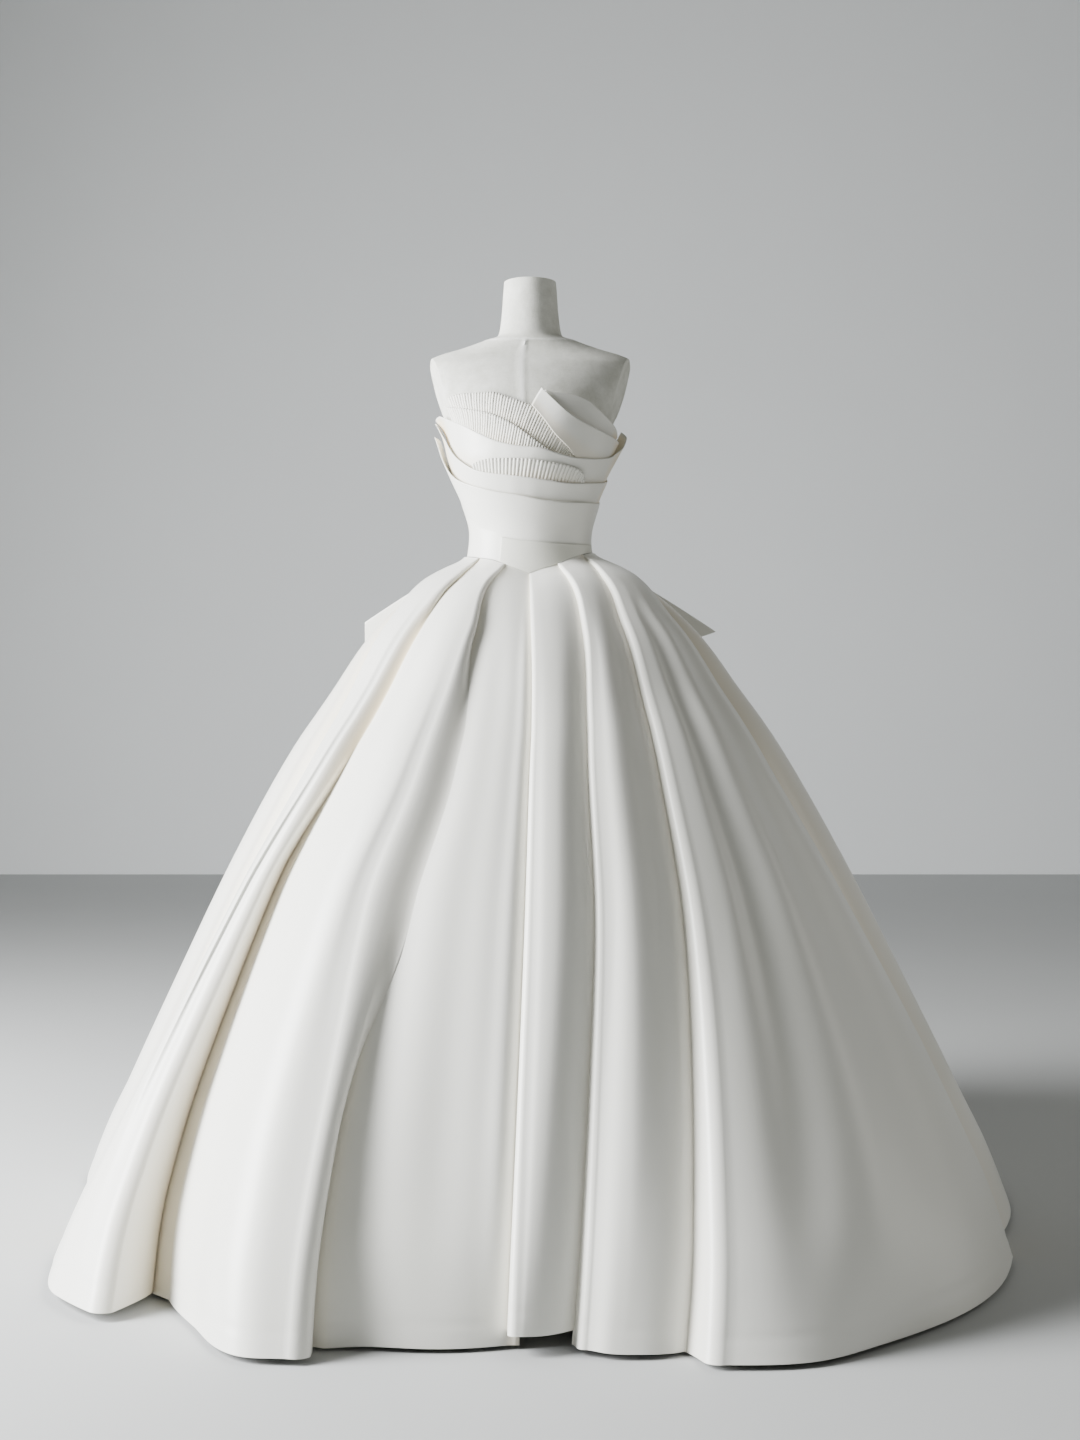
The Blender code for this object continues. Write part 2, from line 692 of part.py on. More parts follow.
def build_gore(index):
    gore = GORES[index]
    before = GORES[index - 1]
    after = GORES[(index + 1) % len(GORES)]
    left = FOLDS[index]
    right = FOLDS[(index + 1) % len(FOLDS)]
    columns = gore_columns(GORE_COLUMNS[index > LAST_FRONT_GORE], left, right)

    def place(column, row):
        share, fold_side, role = columns[column]
        nominal = blend(gore["hem_height"], WAIST_HEIGHT, SKIRT_ROWS[row] / WAIST_HEIGHT)
        growth = smooth_row(FOLD_GROWTH, nominal)[0]
        left_angle = fold_angle(left, nominal)
        right_angle = fold_angle(right, nominal)
        if right_angle < left_angle:
            right_angle += 360.0
        angle = blend(left_angle, right_angle, share)
        hem_radius = smooth_row(gore["hem"], share)[0]
        bulge = gore["bulge"] * math.sin(math.pi * share) * math.sin(math.pi * nominal / WAIST_HEIGHT)
        over_lift = LAYER_LIFT + LAYER_LIFT * min(1.0, (WAIST_HEIGHT - nominal) / LAYER_REACH)
        left_lift = over_lift if left["over"] > 0 else 0.0
        right_lift = over_lift if right["over"] < 0 else 0.0
        lift = blend(left_lift, right_lift, share) + bulge
        fold = left if fold_side < 0 else right
        under = before["hem"][-1][1] if fold_side < 0 else after["hem"][0][1]
        step = (hem_radius - under) * growth + over_lift
        per_degree = math.radians(smooth_row(SKIRT_PROFILE, nominal)[0])
        turn_back = fold["turn"] * growth
        if role == "hidden":
            angle += fold_side * (HIDDEN_WIDTH * (0.2 + 0.8 * growth) + turn_back) / per_degree
        elif role == "edge":
            angle -= fold_side * 0.5 * min(step, 0.02) / per_degree
        elif role == "turn":
            hem_radius = blend(hem_radius, under, 0.35)
            lift = blend(lift, FOOT_LIFT, 0.35)
        elif role == "foot":
            angle -= fold_side * (0.3 * min(step, 0.02) + turn_back) / per_degree
            hem_radius = under
            lift = FOOT_LIFT + 0.006 * growth
        return skirt_point(angle, nominal, hem_radius, lift)

    bm = bmesh.new()
    last_column = len(columns) - 1
    last_row = len(SKIRT_ROWS) - 1
    bmesh.ops.create_grid(bm, x_segments=last_column, y_segments=last_row, size=0.5)
    for vert in bm.verts:
        column = round((vert.co.x + 0.5) * last_column)
        row = last_row - round((vert.co.y + 0.5) * last_row)
        vert.co = place(column, row)
    bmesh.ops.recalc_face_normals(bm, faces=bm.faces)
    mesh = bpy.data.meshes.new(f"gore_{index + 1}")
    bm.to_mesh(mesh)
    bm.free()
    obj = add_object(mesh.name, mesh, "satin", 60.0)
    shell = obj.modifiers.new("cloth", "SOLIDIFY")
    shell.thickness = SKIRT_CLOTH
    shell.offset = 0.0


def build_bow():
    """Two ribbon loops that droop over the skirt's back, and the knot between them."""
    widest = KNOT_HEIGHT - KNOT_HALF_HEIGHT + KNOT_ROUNDING
    knot_front = smooth_row(FORM_RINGS, widest)[2] + midriff_lift(180.0, KNOT_HEIGHT) + BODICE_CLOTH
    knot_middle = knot_front + SEAM_GAP + KNOT_DEPTH / 2
    bpy.ops.mesh.primitive_cube_add(size=1.0)
    knot = bpy.context.object
    knot.name = "bow_knot"
    knot.data.name = "bow_knot"
    for vert in knot.data.vertices:
        vert.co.x *= 2 * KNOT_HALF_WIDTH
        vert.co.y *= KNOT_DEPTH
        vert.co.z *= 2 * KNOT_HALF_HEIGHT
    knot.location = (0.0, knot_middle, KNOT_HEIGHT)
    rounding = knot.modifiers.new("round", "BEVEL")
    rounding.width = KNOT_ROUNDING
    rounding.segments = 3
    for collection in list(knot.users_collection):
        collection.objects.unlink(knot)
    gown.objects.link(knot)
    knot.data.materials.append(plain_material("bow_knot", "satin"))
    knot.data.shade_smooth()

    for loop in BOW_LOOPS:
        build_loop(loop, knot_middle)


def build_loop(loop, knot_middle):
    columns = 18
    rows = 3
    start = KNOT_HALF_WIDTH + 0.0008

    def place(share, width_share):
        out = math.sin(math.pi * share)
        outside = share > 0.5
        reach = blend(start, loop["reach"] - loop["slant"] * (1 - width_share), out)
        along = (reach - start) / (loop["reach"] - start)
        top = blend(KNOT_HEIGHT + 0.012, loop["tip"], along**1.25)
        tall = blend(0.024, LOOP_HEIGHT, along**0.8)
        height = top - tall * (1 - width_share)
        clear = smooth_row(SKIRT_PROFILE, height)[0] + 0.040
        skirt_back = math.sqrt(max(0.0, clear**2 - reach**2))
        back = max(knot_middle - 0.008 + 0.06 * along, skirt_back)
        near_knot = min(1.0, along / 0.25)
        back = blend(knot_middle - 0.007, back, near_knot)
        puff = LOOP_PUFF * math.sin(math.pi * min(1.0, along * 0.95 + 0.05)) + 0.014
        if outside:
            back += puff * (1.0 - 0.9 * max(0.0, along - 0.8) / 0.2)
        return Vector((loop["side"] * reach, back, height))

    bm = bmesh.new()
    bmesh.ops.create_grid(bm, x_segments=columns, y_segments=rows, size=0.5)
    for vert in bm.verts:
        vert.co = place(vert.co.x + 0.5, vert.co.y + 0.5)
    bmesh.ops.recalc_face_normals(bm, faces=bm.faces)
    mesh = bpy.data.meshes.new(loop["name"])
    bm.to_mesh(mesh)
    bm.free()
    obj = add_object(loop["name"], mesh, "satin", 60.0)
    shell = obj.modifiers.new("cloth", "SOLIDIFY")
    shell.thickness = BOW_CLOTH
    shell.offset = 0.0


for old in list(bpy.data.objects):
    bpy.data.objects.remove(old, do_unlink=True)
gown = bpy.data.collections.new("ball_gown")
bpy.context.scene.collection.children.link(gown)

build_form()
build_turned("stand_base", BASE_RADIUS, 0.0, BASE_THICKNESS, 32, BASE_BEVEL)
build_turned(
    "stand_pole", POLE_RADIUS, BASE_THICKNESS + SEAM_GAP, FORM_BOTTOM - SEAM_GAP, 16, 0.0
)
build_bodice()
for number in range(len(GORES)):
    build_gore(number)
build_bow()
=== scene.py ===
import math

import bmesh
import bpy
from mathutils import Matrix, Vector, noise


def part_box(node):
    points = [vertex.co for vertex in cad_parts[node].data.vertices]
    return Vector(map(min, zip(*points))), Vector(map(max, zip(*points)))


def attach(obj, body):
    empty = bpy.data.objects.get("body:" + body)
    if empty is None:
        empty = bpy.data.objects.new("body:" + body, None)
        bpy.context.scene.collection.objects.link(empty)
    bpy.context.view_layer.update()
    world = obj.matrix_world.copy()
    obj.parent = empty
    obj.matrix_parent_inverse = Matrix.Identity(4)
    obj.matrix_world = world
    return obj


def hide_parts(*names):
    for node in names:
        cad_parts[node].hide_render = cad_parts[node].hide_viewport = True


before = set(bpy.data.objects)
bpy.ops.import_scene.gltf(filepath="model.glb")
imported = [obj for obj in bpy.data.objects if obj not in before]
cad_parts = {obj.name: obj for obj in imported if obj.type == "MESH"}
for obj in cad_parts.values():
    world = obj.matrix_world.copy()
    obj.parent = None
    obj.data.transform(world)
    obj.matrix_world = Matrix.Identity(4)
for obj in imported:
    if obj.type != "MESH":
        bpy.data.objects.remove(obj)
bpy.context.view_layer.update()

body = "root"

# Shared sizes of the form and the gown, in metres, front towards -Y
waistHeight = 1.167
waistRadius = 0.1165
bodiceCloth = 0.0014
skirtCloth = 0.0018
sideSeamAngle = 100.0
skirtShiftX = 0.010

# height, half width, front depth, back depth
formRings = (
    (0.930, 0.150, 0.100, 0.118), (1.000, 0.158, 0.108, 0.125), (1.080, 0.145, 0.106, 0.112),
    (1.140, 0.122, 0.095, 0.088), (1.167, 0.113, 0.090, 0.080), (1.210, 0.108, 0.086, 0.074),
    (1.260, 0.1165, 0.094, 0.078), (1.310, 0.131, 0.110, 0.085), (1.345, 0.139, 0.120, 0.090),
    (1.380, 0.1435, 0.121, 0.094), (1.410, 0.153, 0.115, 0.096), (1.440, 0.170, 0.106, 0.097),
    (1.480, 0.190, 0.090, 0.094), (1.515, 0.197, 0.070, 0.085), (1.527, 0.186, 0.058, 0.072),
    (1.535, 0.170, 0.052, 0.066), (1.546, 0.132, 0.050, 0.060), (1.560, 0.090, 0.052, 0.058),
    (1.569, 0.062, 0.054, 0.058), (1.580, 0.057, 0.052, 0.055), (1.610, 0.053, 0.050, 0.052),
    (1.650, 0.050, 0.048, 0.049), (1.670, 0.0485, 0.047, 0.047),
)
# angle, height of the seam between bodice and skirt
waistSeam = (
    (-180.0, 1.168), (-90.0, 1.166), (-38.0, 1.156), (-24.0, 1.148), (-11.0, 1.137), (-1.2, 1.1289),
    (0.0, 1.128), (1.2, 1.1290), (13.0, 1.139), (26.0, 1.149), (44.0, 1.162), (76.0, 1.172),
    (180.0, 1.168),
)
# height, lift of the midriff's inner side off the form
midriffLift = ((1.120, 0.0014), (1.167, 0.0014), (1.210, 0.0026), (1.235, 0.0042), (1.265, 0.0070))


def smoothRow(rows, at):
    # the other columns at one value of the first, on a curve with no overshoot
    at = min(max(at, rows[0][0]), rows[-1][0])
    last = len(rows) - 1
    index = 0
    while index < last - 1 and rows[index + 1][0] < at:
        index += 1
    width = rows[index + 1][0] - rows[index][0]
    share = (at - rows[index][0]) / width

    def secant(knot, column):
        return (rows[knot + 1][column] - rows[knot][column]) / (rows[knot + 1][0] - rows[knot][0])

    def slope(knot, column):
        if last == 1:
            return secant(0, column)
        if knot == 0:
            return 1.5 * secant(0, column) - 0.5 * slope(1, column)
        if knot == last:
            return 1.5 * secant(last - 1, column) - 0.5 * slope(last - 1, column)
        before, after = secant(knot - 1, column), secant(knot, column)
        return 0.0 if before * after <= 0 else 2 * before * after / (before + after)

    values = []
    for column in range(1, len(rows[0])):
        start, end = rows[index][column], rows[index + 1][column]
        first, second = slope(index, column) * width, slope(index + 1, column) * width
        cubic = 2 * start - 2 * end + first + second
        square = -3 * start + 3 * end - 2 * first - second
        values.append(cubic * share**3 + square * share**2 + first * share + start)
    return values


def blend(first, second, share):
    return first + (second - first) * share


def smoothStep(low, high, at):
    share = min(1.0, max(0.0, (at - low) / (high - low)))
    return share * share * (3 - 2 * share)


def hump(at, middle, width):
    return math.exp(-((at - middle) / width) ** 2)


def ripple(x, y, z=0.0):
    return noise.noise(Vector((x, y, z)))


def formPoint(angle, height, lift):
    halfWidth, front, back = smoothRow(formRings, height)
    turn = math.radians(angle)
    depth = front if math.cos(turn) > 0 else back
    return Vector(((halfWidth + lift) * math.sin(turn), -(depth + lift) * math.cos(turn), height))


def seamHeight(angle):
    return smoothRow(waistSeam, (angle + 180) % 360 - 180)[0]


def spaced(rows):
    # puts each row's share of the edge's length before it
    lengths = [0.0]
    for before, after in zip(rows, rows[1:]):
        lengths.append(lengths[-1] + (formPoint(*after) - formPoint(*before)).length)
    return [(length / lengths[-1], *row) for length, row in zip(lengths, rows)]


# Shader maths: a wire is a socket that adds nodes by Python's operators
class Wire:
    def __init__(self, tree, socket=None):
        self.tree = tree
        self.socket = socket

    def node(self, kind, settings=None, values=None, out=0):
        made = self.tree.nodes.new(kind)
        for key, value in (settings or {}).items():
            setattr(made, key, value)
        for key, value in (values or {}).items():
            if isinstance(value, Wire):
                self.tree.links.new(value.socket, made.inputs[key])
            else:
                made.inputs[key].default_value = value
        return Wire(self.tree, made.outputs[out])

    def math(self, operation, first, second):
        return self.node("ShaderNodeMath", {"operation": operation}, {0: first, 1: second})

    def __add__(self, other):
        return self.math("ADD", self, other)

    def __radd__(self, other):
        return self.math("ADD", other, self)

    def __sub__(self, other):
        return self.math("SUBTRACT", self, other)

    def __rsub__(self, other):
        return self.math("SUBTRACT", other, self)

    def __mul__(self, other):
        return self.math("MULTIPLY", self, other)

    def __rmul__(self, other):
        return self.math("MULTIPLY", other, self)

    def absolute(self):
        return self.math("ABSOLUTE", self, 0.0)

    def fraction(self):
        return self.math("FRACT", self, 0.0)

    def spread(self, low, high):
        # 0 at low and 1 at high, held beyond them
        return self.node("ShaderNodeMapRange", None, {0: self, 1: low, 2: high})

    def mixColour(self, first, second):
        return self.node("ShaderNodeMix", {"data_type": "RGBA"}, {0: self, 6: first, 7: second}, 2)

    def stretch(self, scale):
        return self.node("ShaderNodeMapping", None, {"Vector": self, "Scale": scale})

    def cloud(self, scale, detail=2.0, rough=0.5):
        return self.node("ShaderNodeTexNoise", None,
                         {"Vector": self, "Scale": scale, "Detail": detail, "Roughness": rough})


def newMaterial(name):
    material = bpy.data.materials.new(name)
    material.use_nodes = True
    tree = material.node_tree
    return material, Wire(tree), tree.nodes["Principled BSDF"]


def join(shader, socket, wire):
    wire.tree.links.new(wire.socket, shader.inputs[socket])


# glow is the colour of the painted warm glow in folds, and the grey is the painted shade in the pleats'
# grooves
satinLook = {
    "lit": (0.87, 0.865, 0.80, 1), "pale": (0.91, 0.905, 0.86, 1), "glow": (0.98, 0.78, 0.46, 1),
    "grooveShade": (0.36, 0.37, 0.32, 1),
    "roughness": 0.36, "sheen": 0.25,
}
# in shares of a pleat's width: its ridge's end, its groove's middle and how far its painted shade reaches;
# then the finished width of one pleat, in metres
pleatLook = {
    "ridgeEnd": 0.74, "grooveAt": 0.87, "grooveStart": 0.10, "grooveEnd": 0.21, "grooveShadeStrength": 0.9,
    "width": 0.005,
}


def satinMaterial(name, tint=satinLook, pleats=False):
    # heavy satin: pale patches, a painted warm glow in the folds (light caught in them, painted into the
    # colour), long threads that streak its gloss; pleated cloth has one pleat to each unit of its map, with
    # painted grey shade in the groove beside it
    material, graph, shader = newMaterial(name)
    place = graph.node("ShaderNodeTexCoord", out="Object")
    cloth = graph.node("ShaderNodeUVMap", {"uv_map": "cloth"})
    patches = place.cloud(3.2, 3.0)
    colour = patches.mixColour(tint["lit"], tint["pale"])
    if pleats:
        pleat = cloth.node("ShaderNodeSeparateXYZ", None, {0: cloth})
        fromGroove = (pleat.fraction() - pleatLook["grooveAt"]).absolute()
        # painted shade: the groove beside each pleat is painted grey
        grooveShade = fromGroove.spread(pleatLook["grooveEnd"], pleatLook["grooveStart"])
        colour = (grooveShade * pleatLook["grooveShadeStrength"]).mixColour(colour, tint["grooveShade"])
    # painted warm glow: the fold attribute mixes the glow colour in where light is caught in folds and gaps
    depth = graph.node("ShaderNodeAttribute", {"attribute_name": "fold"}, out="Fac")
    colour = depth.mixColour(colour, tint["glow"])
    join(shader, "Base Color", colour)
    metre = pleatLook["width"] if pleats else 1.0
    threads = cloth.stretch((900.0 * metre, 60.0, 1.0)).cloud(1.0, 2.0)
    slubs = cloth.stretch((160.0 * metre, 9.0, 1.0)).cloud(1.0, 3.0)
    join(shader, "Roughness", tint["roughness"] - 0.06 + threads * 0.07 + slubs * 0.05)
    soft = place.cloud(26.0, 4.0)
    relief = threads * 0.25 + slubs * 0.5 + soft * 0.9
    join(shader, "Normal", graph.node("ShaderNodeBump", None,
                                      {"Strength": 0.10, "Distance": 0.0012, "Height": relief}))
    shader.inputs["Sheen Weight"].default_value = tint["sheen"]
    shader.inputs["Sheen Roughness"].default_value = 0.45
    shader.inputs["Specular IOR Level"].default_value = 0.45
    return material


def linenMaterial(name):
    # undyed linen pulled over the form: mottled, with its two thread directions
    material, graph, shader = newMaterial(name)
    place = graph.node("ShaderNodeTexCoord", out="Object")
    mottle = place.cloud(38.0, 5.0, 0.7)
    patches = place.cloud(7.0, 2.0)
    colour = mottle.spread(0.30, 0.70).mixColour((0.56, 0.56, 0.50, 1), (0.80, 0.80, 0.75, 1))
    colour = (patches * 0.5).mixColour(colour, (0.74, 0.74, 0.68, 1))
    # the seams are painted lighter: a painted highlight along their raised ridges
    seam = graph.node("ShaderNodeAttribute", {"attribute_name": "seam"}, out="Fac")
    colour = (seam * 0.9).mixColour(colour, (0.93, 0.93, 0.90, 1))
    join(shader, "Base Color", colour)
    across = place.stretch((90.0, 90.0, 900.0)).cloud(1.0, 2.0)
    along = place.stretch((900.0, 900.0, 90.0)).cloud(1.0, 2.0)
    join(shader, "Roughness", 0.82 + mottle * 0.12)
    join(shader, "Normal", graph.node("ShaderNodeBump", None, {
        "Strength": 0.45, "Distance": 0.0006, "Height": across + along + mottle * 0.6}))
    shader.inputs["Sheen Weight"].default_value = 0.1
    return material


def metalMaterial(name):
    material, graph, shader = newMaterial(name)
    place = graph.node("ShaderNodeTexCoord", out="Object")
    orange = place.cloud(420.0, 3.0)
    wear = place.cloud(9.0, 4.0)
    join(shader, "Base Color", wear.mixColour((0.70, 0.70, 0.69, 1), (0.78, 0.78, 0.77, 1)))
    join(shader, "Roughness", 0.30 + wear * 0.14)
    join(shader, "Normal", graph.node("ShaderNodeBump", None,
                                      {"Strength": 0.2, "Distance": 0.0003, "Height": orange}))
    return material


satin = satinMaterial("satin_heavy")
satinPleated = satinMaterial("satin_pleated", {
    **satinLook, "lit": (0.88, 0.865, 0.79, 1), "pale": (0.91, 0.90, 0.85, 1), "roughness": 0.5}, True)
# a darker copy of the satin for the basque, cut across the grain: its darker tone is painted shade for that
# cloth catching less light
satinAcrossShaded = satinMaterial("satin_across_shaded", {
    **satinLook, "lit": (0.76, 0.76, 0.68, 1), "pale": (0.80, 0.80, 0.73, 1), "roughness": 0.42})
linen = linenMaterial("linen_cover")
paintedMetal = metalMaterial("stand_paint")


def clothSheet(name, columns, rows, place, cloth, thickness, offset, material):
    # a sheet mapped from a grid; place gives a point and how strongly the painted warm glow tints it there,
    # the light caught in a fold painted into the colour
    bm = bmesh.new()
    bmesh.ops.create_grid(bm, x_segments=columns, y_segments=rows, size=0.5)
    across = bm.verts.layers.float.new("across")
    up = bm.verts.layers.float.new("up")
    fold = bm.verts.layers.float.new("fold")
    uv = bm.loops.layers.uv.new("cloth")
    for vert in bm.verts:
        vert[across], vert[up] = vert.co.x + 0.5, vert.co.y + 0.5
        vert.co, vert[fold] = place(vert[across], vert[up])
    for face in bm.faces:
        face.smooth = True
        for loop in face.loops:
            loop[uv].uv = (loop.vert[across] * cloth[0], loop.vert[up] * cloth[1])
    bmesh.ops.recalc_face_normals(bm, faces=bm.faces)
    middle = bm.faces[:][len(bm.faces) // 2]
    centre = middle.calc_center_median()
    if middle.normal.dot(Vector((centre.x, centre.y, 0.0))) < 0:
        bmesh.ops.reverse_faces(bm, faces=bm.faces)
    mesh = bpy.data.meshes.new(name)
    bm.to_mesh(mesh)
    bm.free()
    piece = bpy.data.objects.new(name, mesh)
    bpy.context.scene.collection.objects.link(piece)
    mesh.materials.append(material)
    wall = piece.modifiers.new("wall", "SOLIDIFY")
    wall.thickness = thickness
    wall.offset = offset
    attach(piece, body)
    return piece


print("form")
formLook = {
    "segments": 160, "rows": 300, "neckSeam": 1.5640, "seamRise": 0.0018, "frontSeamAngle": -4.5,
    "seamWidth": 0.0016, "girthRadius": 0.13, "coverSink": 0.0008,
    "plateX": 0.1805, "plateHeight": 1.5235, "plateTurn": 0.22, "plateSlope": 0.24,
}


def formSurface(share, up):
    # the cover's seams stand up a little: round the neck, down the front and down the back
    height = blend(formRings[0][0], formRings[-1][0], up)
    angle = 360.0 * share - 180.0
    neckSeam = formLook["neckSeam"] - 0.007 * math.cos(math.radians(angle))
    seam = hump(height, neckSeam, 0.0014)
    if height < neckSeam:
        metre = math.radians(1.0) * formLook["girthRadius"]
        seam = max(seam, hump((angle - formLook["frontSeamAngle"]) * metre, 0.0, formLook["seamWidth"]),
                   hump((abs(angle) - 180.0) * metre, 0.0, formLook["seamWidth"]))
    return formPoint(angle, height, formLook["seamRise"] * seam - formLook["coverSink"]), seam


def makeForm():
    bm = bmesh.new()
    segments, rows = formLook["segments"], formLook["rows"]
    bmesh.ops.create_grid(bm, x_segments=segments, y_segments=rows, size=0.5)
    seam = bm.verts.layers.float.new("seam")
    for vert in bm.verts:
        vert.co, vert[seam] = formSurface(vert.co.x + 0.5, vert.co.y + 0.5)
    bmesh.ops.remove_doubles(bm, verts=bm.verts, dist=1e-5)
    bmesh.ops.holes_fill(bm, edges=bm.edges)
    for side in (-1, 1):
        cut = bmesh.ops.bisect_plane(
            bm, geom=bm.verts[:] + bm.edges[:] + bm.faces[:], dist=1e-6,
            plane_co=(side * formLook["plateX"], 0.0, formLook["plateHeight"]),
            plane_no=(side, -formLook["plateTurn"], -formLook["plateSlope"]), clear_outer=True)
        rim = [item for item in cut["geom_cut"] if isinstance(item, bmesh.types.BMEdge)]
        filled = bmesh.ops.holes_fill(bm, edges=rim)["faces"]
        bmesh.ops.inset_region(bm, faces=filled, thickness=0.004, depth=0.0)
        bmesh.ops.inset_region(bm, faces=filled, thickness=0.0015, depth=-0.0012)
    bmesh.ops.recalc_face_normals(bm, faces=bm.faces)
    mesh = bpy.data.meshes.new("form_linen")
    bm.to_mesh(mesh)
    bm.free()
    mesh.shade_smooth()
    mesh.set_sharp_from_angle(angle=math.radians(38))
    piece = bpy.data.objects.new("form_linen", mesh)
    bpy.context.scene.collection.objects.link(piece)
    mesh.materials.append(linen)
    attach(piece, body)
    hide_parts("dress_form")


makeForm()

print("bodice layers")
# Each layer's edges: angle, height, lift off the form
fanUpper = {
    "top": ((-56.0, 1.448, 0.0017), (-44.5, 1.452, 0.0017), (-23.5, 1.452, 0.0017), (-12.0, 1.440, 0.0017),
            (0.0, 1.426, 0.0017), (12.0, 1.404, 0.0017), (21.0, 1.380, 0.0017), (31.5, 1.356, 0.0017),
            (39.5, 1.336, 0.0017)),
    "bottom": ((-57.0, 1.404, 0.0016), (-40.0, 1.394, 0.0016), (-24.0, 1.380, 0.0016),
               (-9.0, 1.356, 0.0016), (4.0, 1.332, 0.0016), (14.0, 1.316, 0.0016),
               (23.0, 1.311, 0.0016), (30.0, 1.311, 0.0016)),
}
fanLower = {
    "top": ((-60.5, 1.432, 0.0054), (-40.0, 1.422, 0.0054), (-26.5, 1.412, 0.0054), (-10.0, 1.388, 0.0054),
            (3.5, 1.362, 0.0054), (14.0, 1.344, 0.0054), (22.0, 1.334, 0.0054)),
    "bottom": ((-62.0, 1.386, 0.0054), (-43.0, 1.366, 0.0054), (-25.0, 1.342, 0.0054),
               (-9.0, 1.326, 0.0054), (3.0, 1.318, 0.0054), (12.0, 1.314, 0.0054),
               (19.0, 1.312, 0.0054)),
}
pleatInset = {
    "top": ((-44.0, 1.324, 0.0118), (-36.0, 1.329, 0.0120), (-27.5, 1.331, 0.0122), (-7.0, 1.329, 0.0128),
            (14.0, 1.323, 0.0144), (34.5, 1.315, 0.0144), (40.5, 1.307, 0.0142), (43.5, 1.292, 0.0126)),
    "bottom": ((-44.0, 1.300, 0.0096), (-34.0, 1.292, 0.0100), (-20.0, 1.288, 0.0100),
               (0.0, 1.282, 0.0100), (20.0, 1.276, 0.0100), (36.0, 1.275, 0.0100),
               (44.0, 1.276, 0.0100)),
}
lapelBack = {
    "top": ((8.0, 1.452, 0.0180), (10.0, 1.4505, 0.0180), (24.5, 1.445, 0.0160), (34.5, 1.437, 0.0150),
            (43.5, 1.424, 0.0150), (59.0, 1.406, 0.0150), (74.5, 1.394, 0.0150), (84.0, 1.384, 0.0150)),
    "bottom": ((5.0, 1.432, 0.0092), (12.0, 1.412, 0.0084), (24.0, 1.384, 0.0060), (38.0, 1.356, 0.0020),
               (56.0, 1.349, 0.0008), (72.0, 1.349, 0.0008), (82.0, 1.352, 0.0008)),
}
lapelFront = {
    "top": ((6.0, 1.4545, 0.0215), (17.0, 1.424, 0.0200), (26.5, 1.406, 0.0190), (37.5, 1.393, 0.0190),
            (50.5, 1.384, 0.0190), (66.0, 1.378, 0.0190), (84.0, 1.374, 0.0200)),
    "bottom": ((1.0, 1.424, 0.0130), (9.0, 1.398, 0.0104), (17.0, 1.372, 0.0098), (27.0, 1.350, 0.0096),
               (37.0, 1.328, 0.0090), (56.0, 1.318, 0.0088), (80.0, 1.322, 0.0088)),
}
drapeUpper = {
    "top": ((-94.0, 1.418, 0.0165), (-88.0, 1.421, 0.0130), (-82.0, 1.422, 0.0090), (-74.5, 1.418, 0.0080),
            (-52.0, 1.397, 0.0090), (-35.5, 1.376, 0.0090), (-20.5, 1.359, 0.0095), (-7.0, 1.351, 0.0100),
            (7.0, 1.347, 0.0128), (21.0, 1.338, 0.0136), (33.0, 1.333, 0.0138), (47.0, 1.334, 0.0140),
            (68.0, 1.342, 0.0160), (78.0, 1.353, 0.0200), (86.0, 1.368, 0.0300), (92.0, 1.386, 0.0320),
            (98.0, 1.399, 0.0200)),
    "bottom": ((-98.0, 1.372, 0.0074), (-86.0, 1.352, 0.0074), (-72.0, 1.338, 0.0074),
               (-56.0, 1.312, 0.0074), (-36.0, 1.290, 0.0074), (-8.0, 1.276, 0.0074),
               (20.0, 1.270, 0.0074), (48.0, 1.272, 0.0070), (72.0, 1.276, 0.0050), (98.0, 1.292, 0.0040)),
}
drapeMiddle = {
    "top": ((-98.0, 1.414, 0.0185), (-91.0, 1.412, 0.0195), (-84.0, 1.396, 0.0180), (-72.0, 1.368, 0.0160),
            (-61.0, 1.342, 0.0155), (-49.5, 1.324, 0.0155), (-40.5, 1.313, 0.0155), (-29.0, 1.306, 0.0160),
            (-8.5, 1.299, 0.0160), (11.5, 1.293, 0.0160), (30.5, 1.289, 0.0160), (49.5, 1.292, 0.0155),
            (67.5, 1.297, 0.0140), (84.0, 1.304, 0.0115), (98.0, 1.312, 0.0095)),
    "bottom": ((-98.0, 1.352, 0.0096), (-84.0, 1.318, 0.0096), (-70.0, 1.292, 0.0096),
               (-54.0, 1.266, 0.0094), (-36.0, 1.252, 0.0092), (-8.0, 1.240, 0.0090),
               (20.0, 1.232, 0.0088), (48.0, 1.232, 0.0076), (74.0, 1.236, 0.0050), (98.0, 1.242, 0.0044)),
}
midriffTop = (
    (-98.0, 1.384, 0.0235), (-92.0, 1.388, 0.0295), (-88.0, 1.374, 0.0275), (-84.0, 1.350, 0.0235),
    (-78.0, 1.326, 0.0200), (-65.0, 1.303, 0.0180), (-51.0, 1.290, 0.0175), (-39.5, 1.282, 0.0175),
    (-26.0, 1.274, 0.0175), (-7.5, 1.266, 0.0170), (11.5, 1.258, 0.0170), (28.5, 1.256, 0.0165),
    (50.0, 1.258, 0.0150), (70.5, 1.261, 0.0110), (86.0, 1.266, 0.0088), (98.0, 1.270, 0.0085),
)
midriffFlare = 0.075


def layerPlace(layer, relief, flare=1.6):
    # a layer between its two edges, with its own relief
    bottomRows, topRows = spaced(layer["bottom"]), spaced(layer["top"])
    cache = {}

    def place(share, up):
        if share not in cache:
            cache[share] = (smoothRow(bottomRows, share), smoothRow(topRows, share))
        low, high = cache[share]
        angle, height = blend(low[0], high[0], up), blend(low[1], high[1], up)
        lift = blend(low[2], high[2], up**flare)
        extra, fold = relief(share, up, angle, height)
        return formPoint(angle, height, lift + extra), fold

    return place


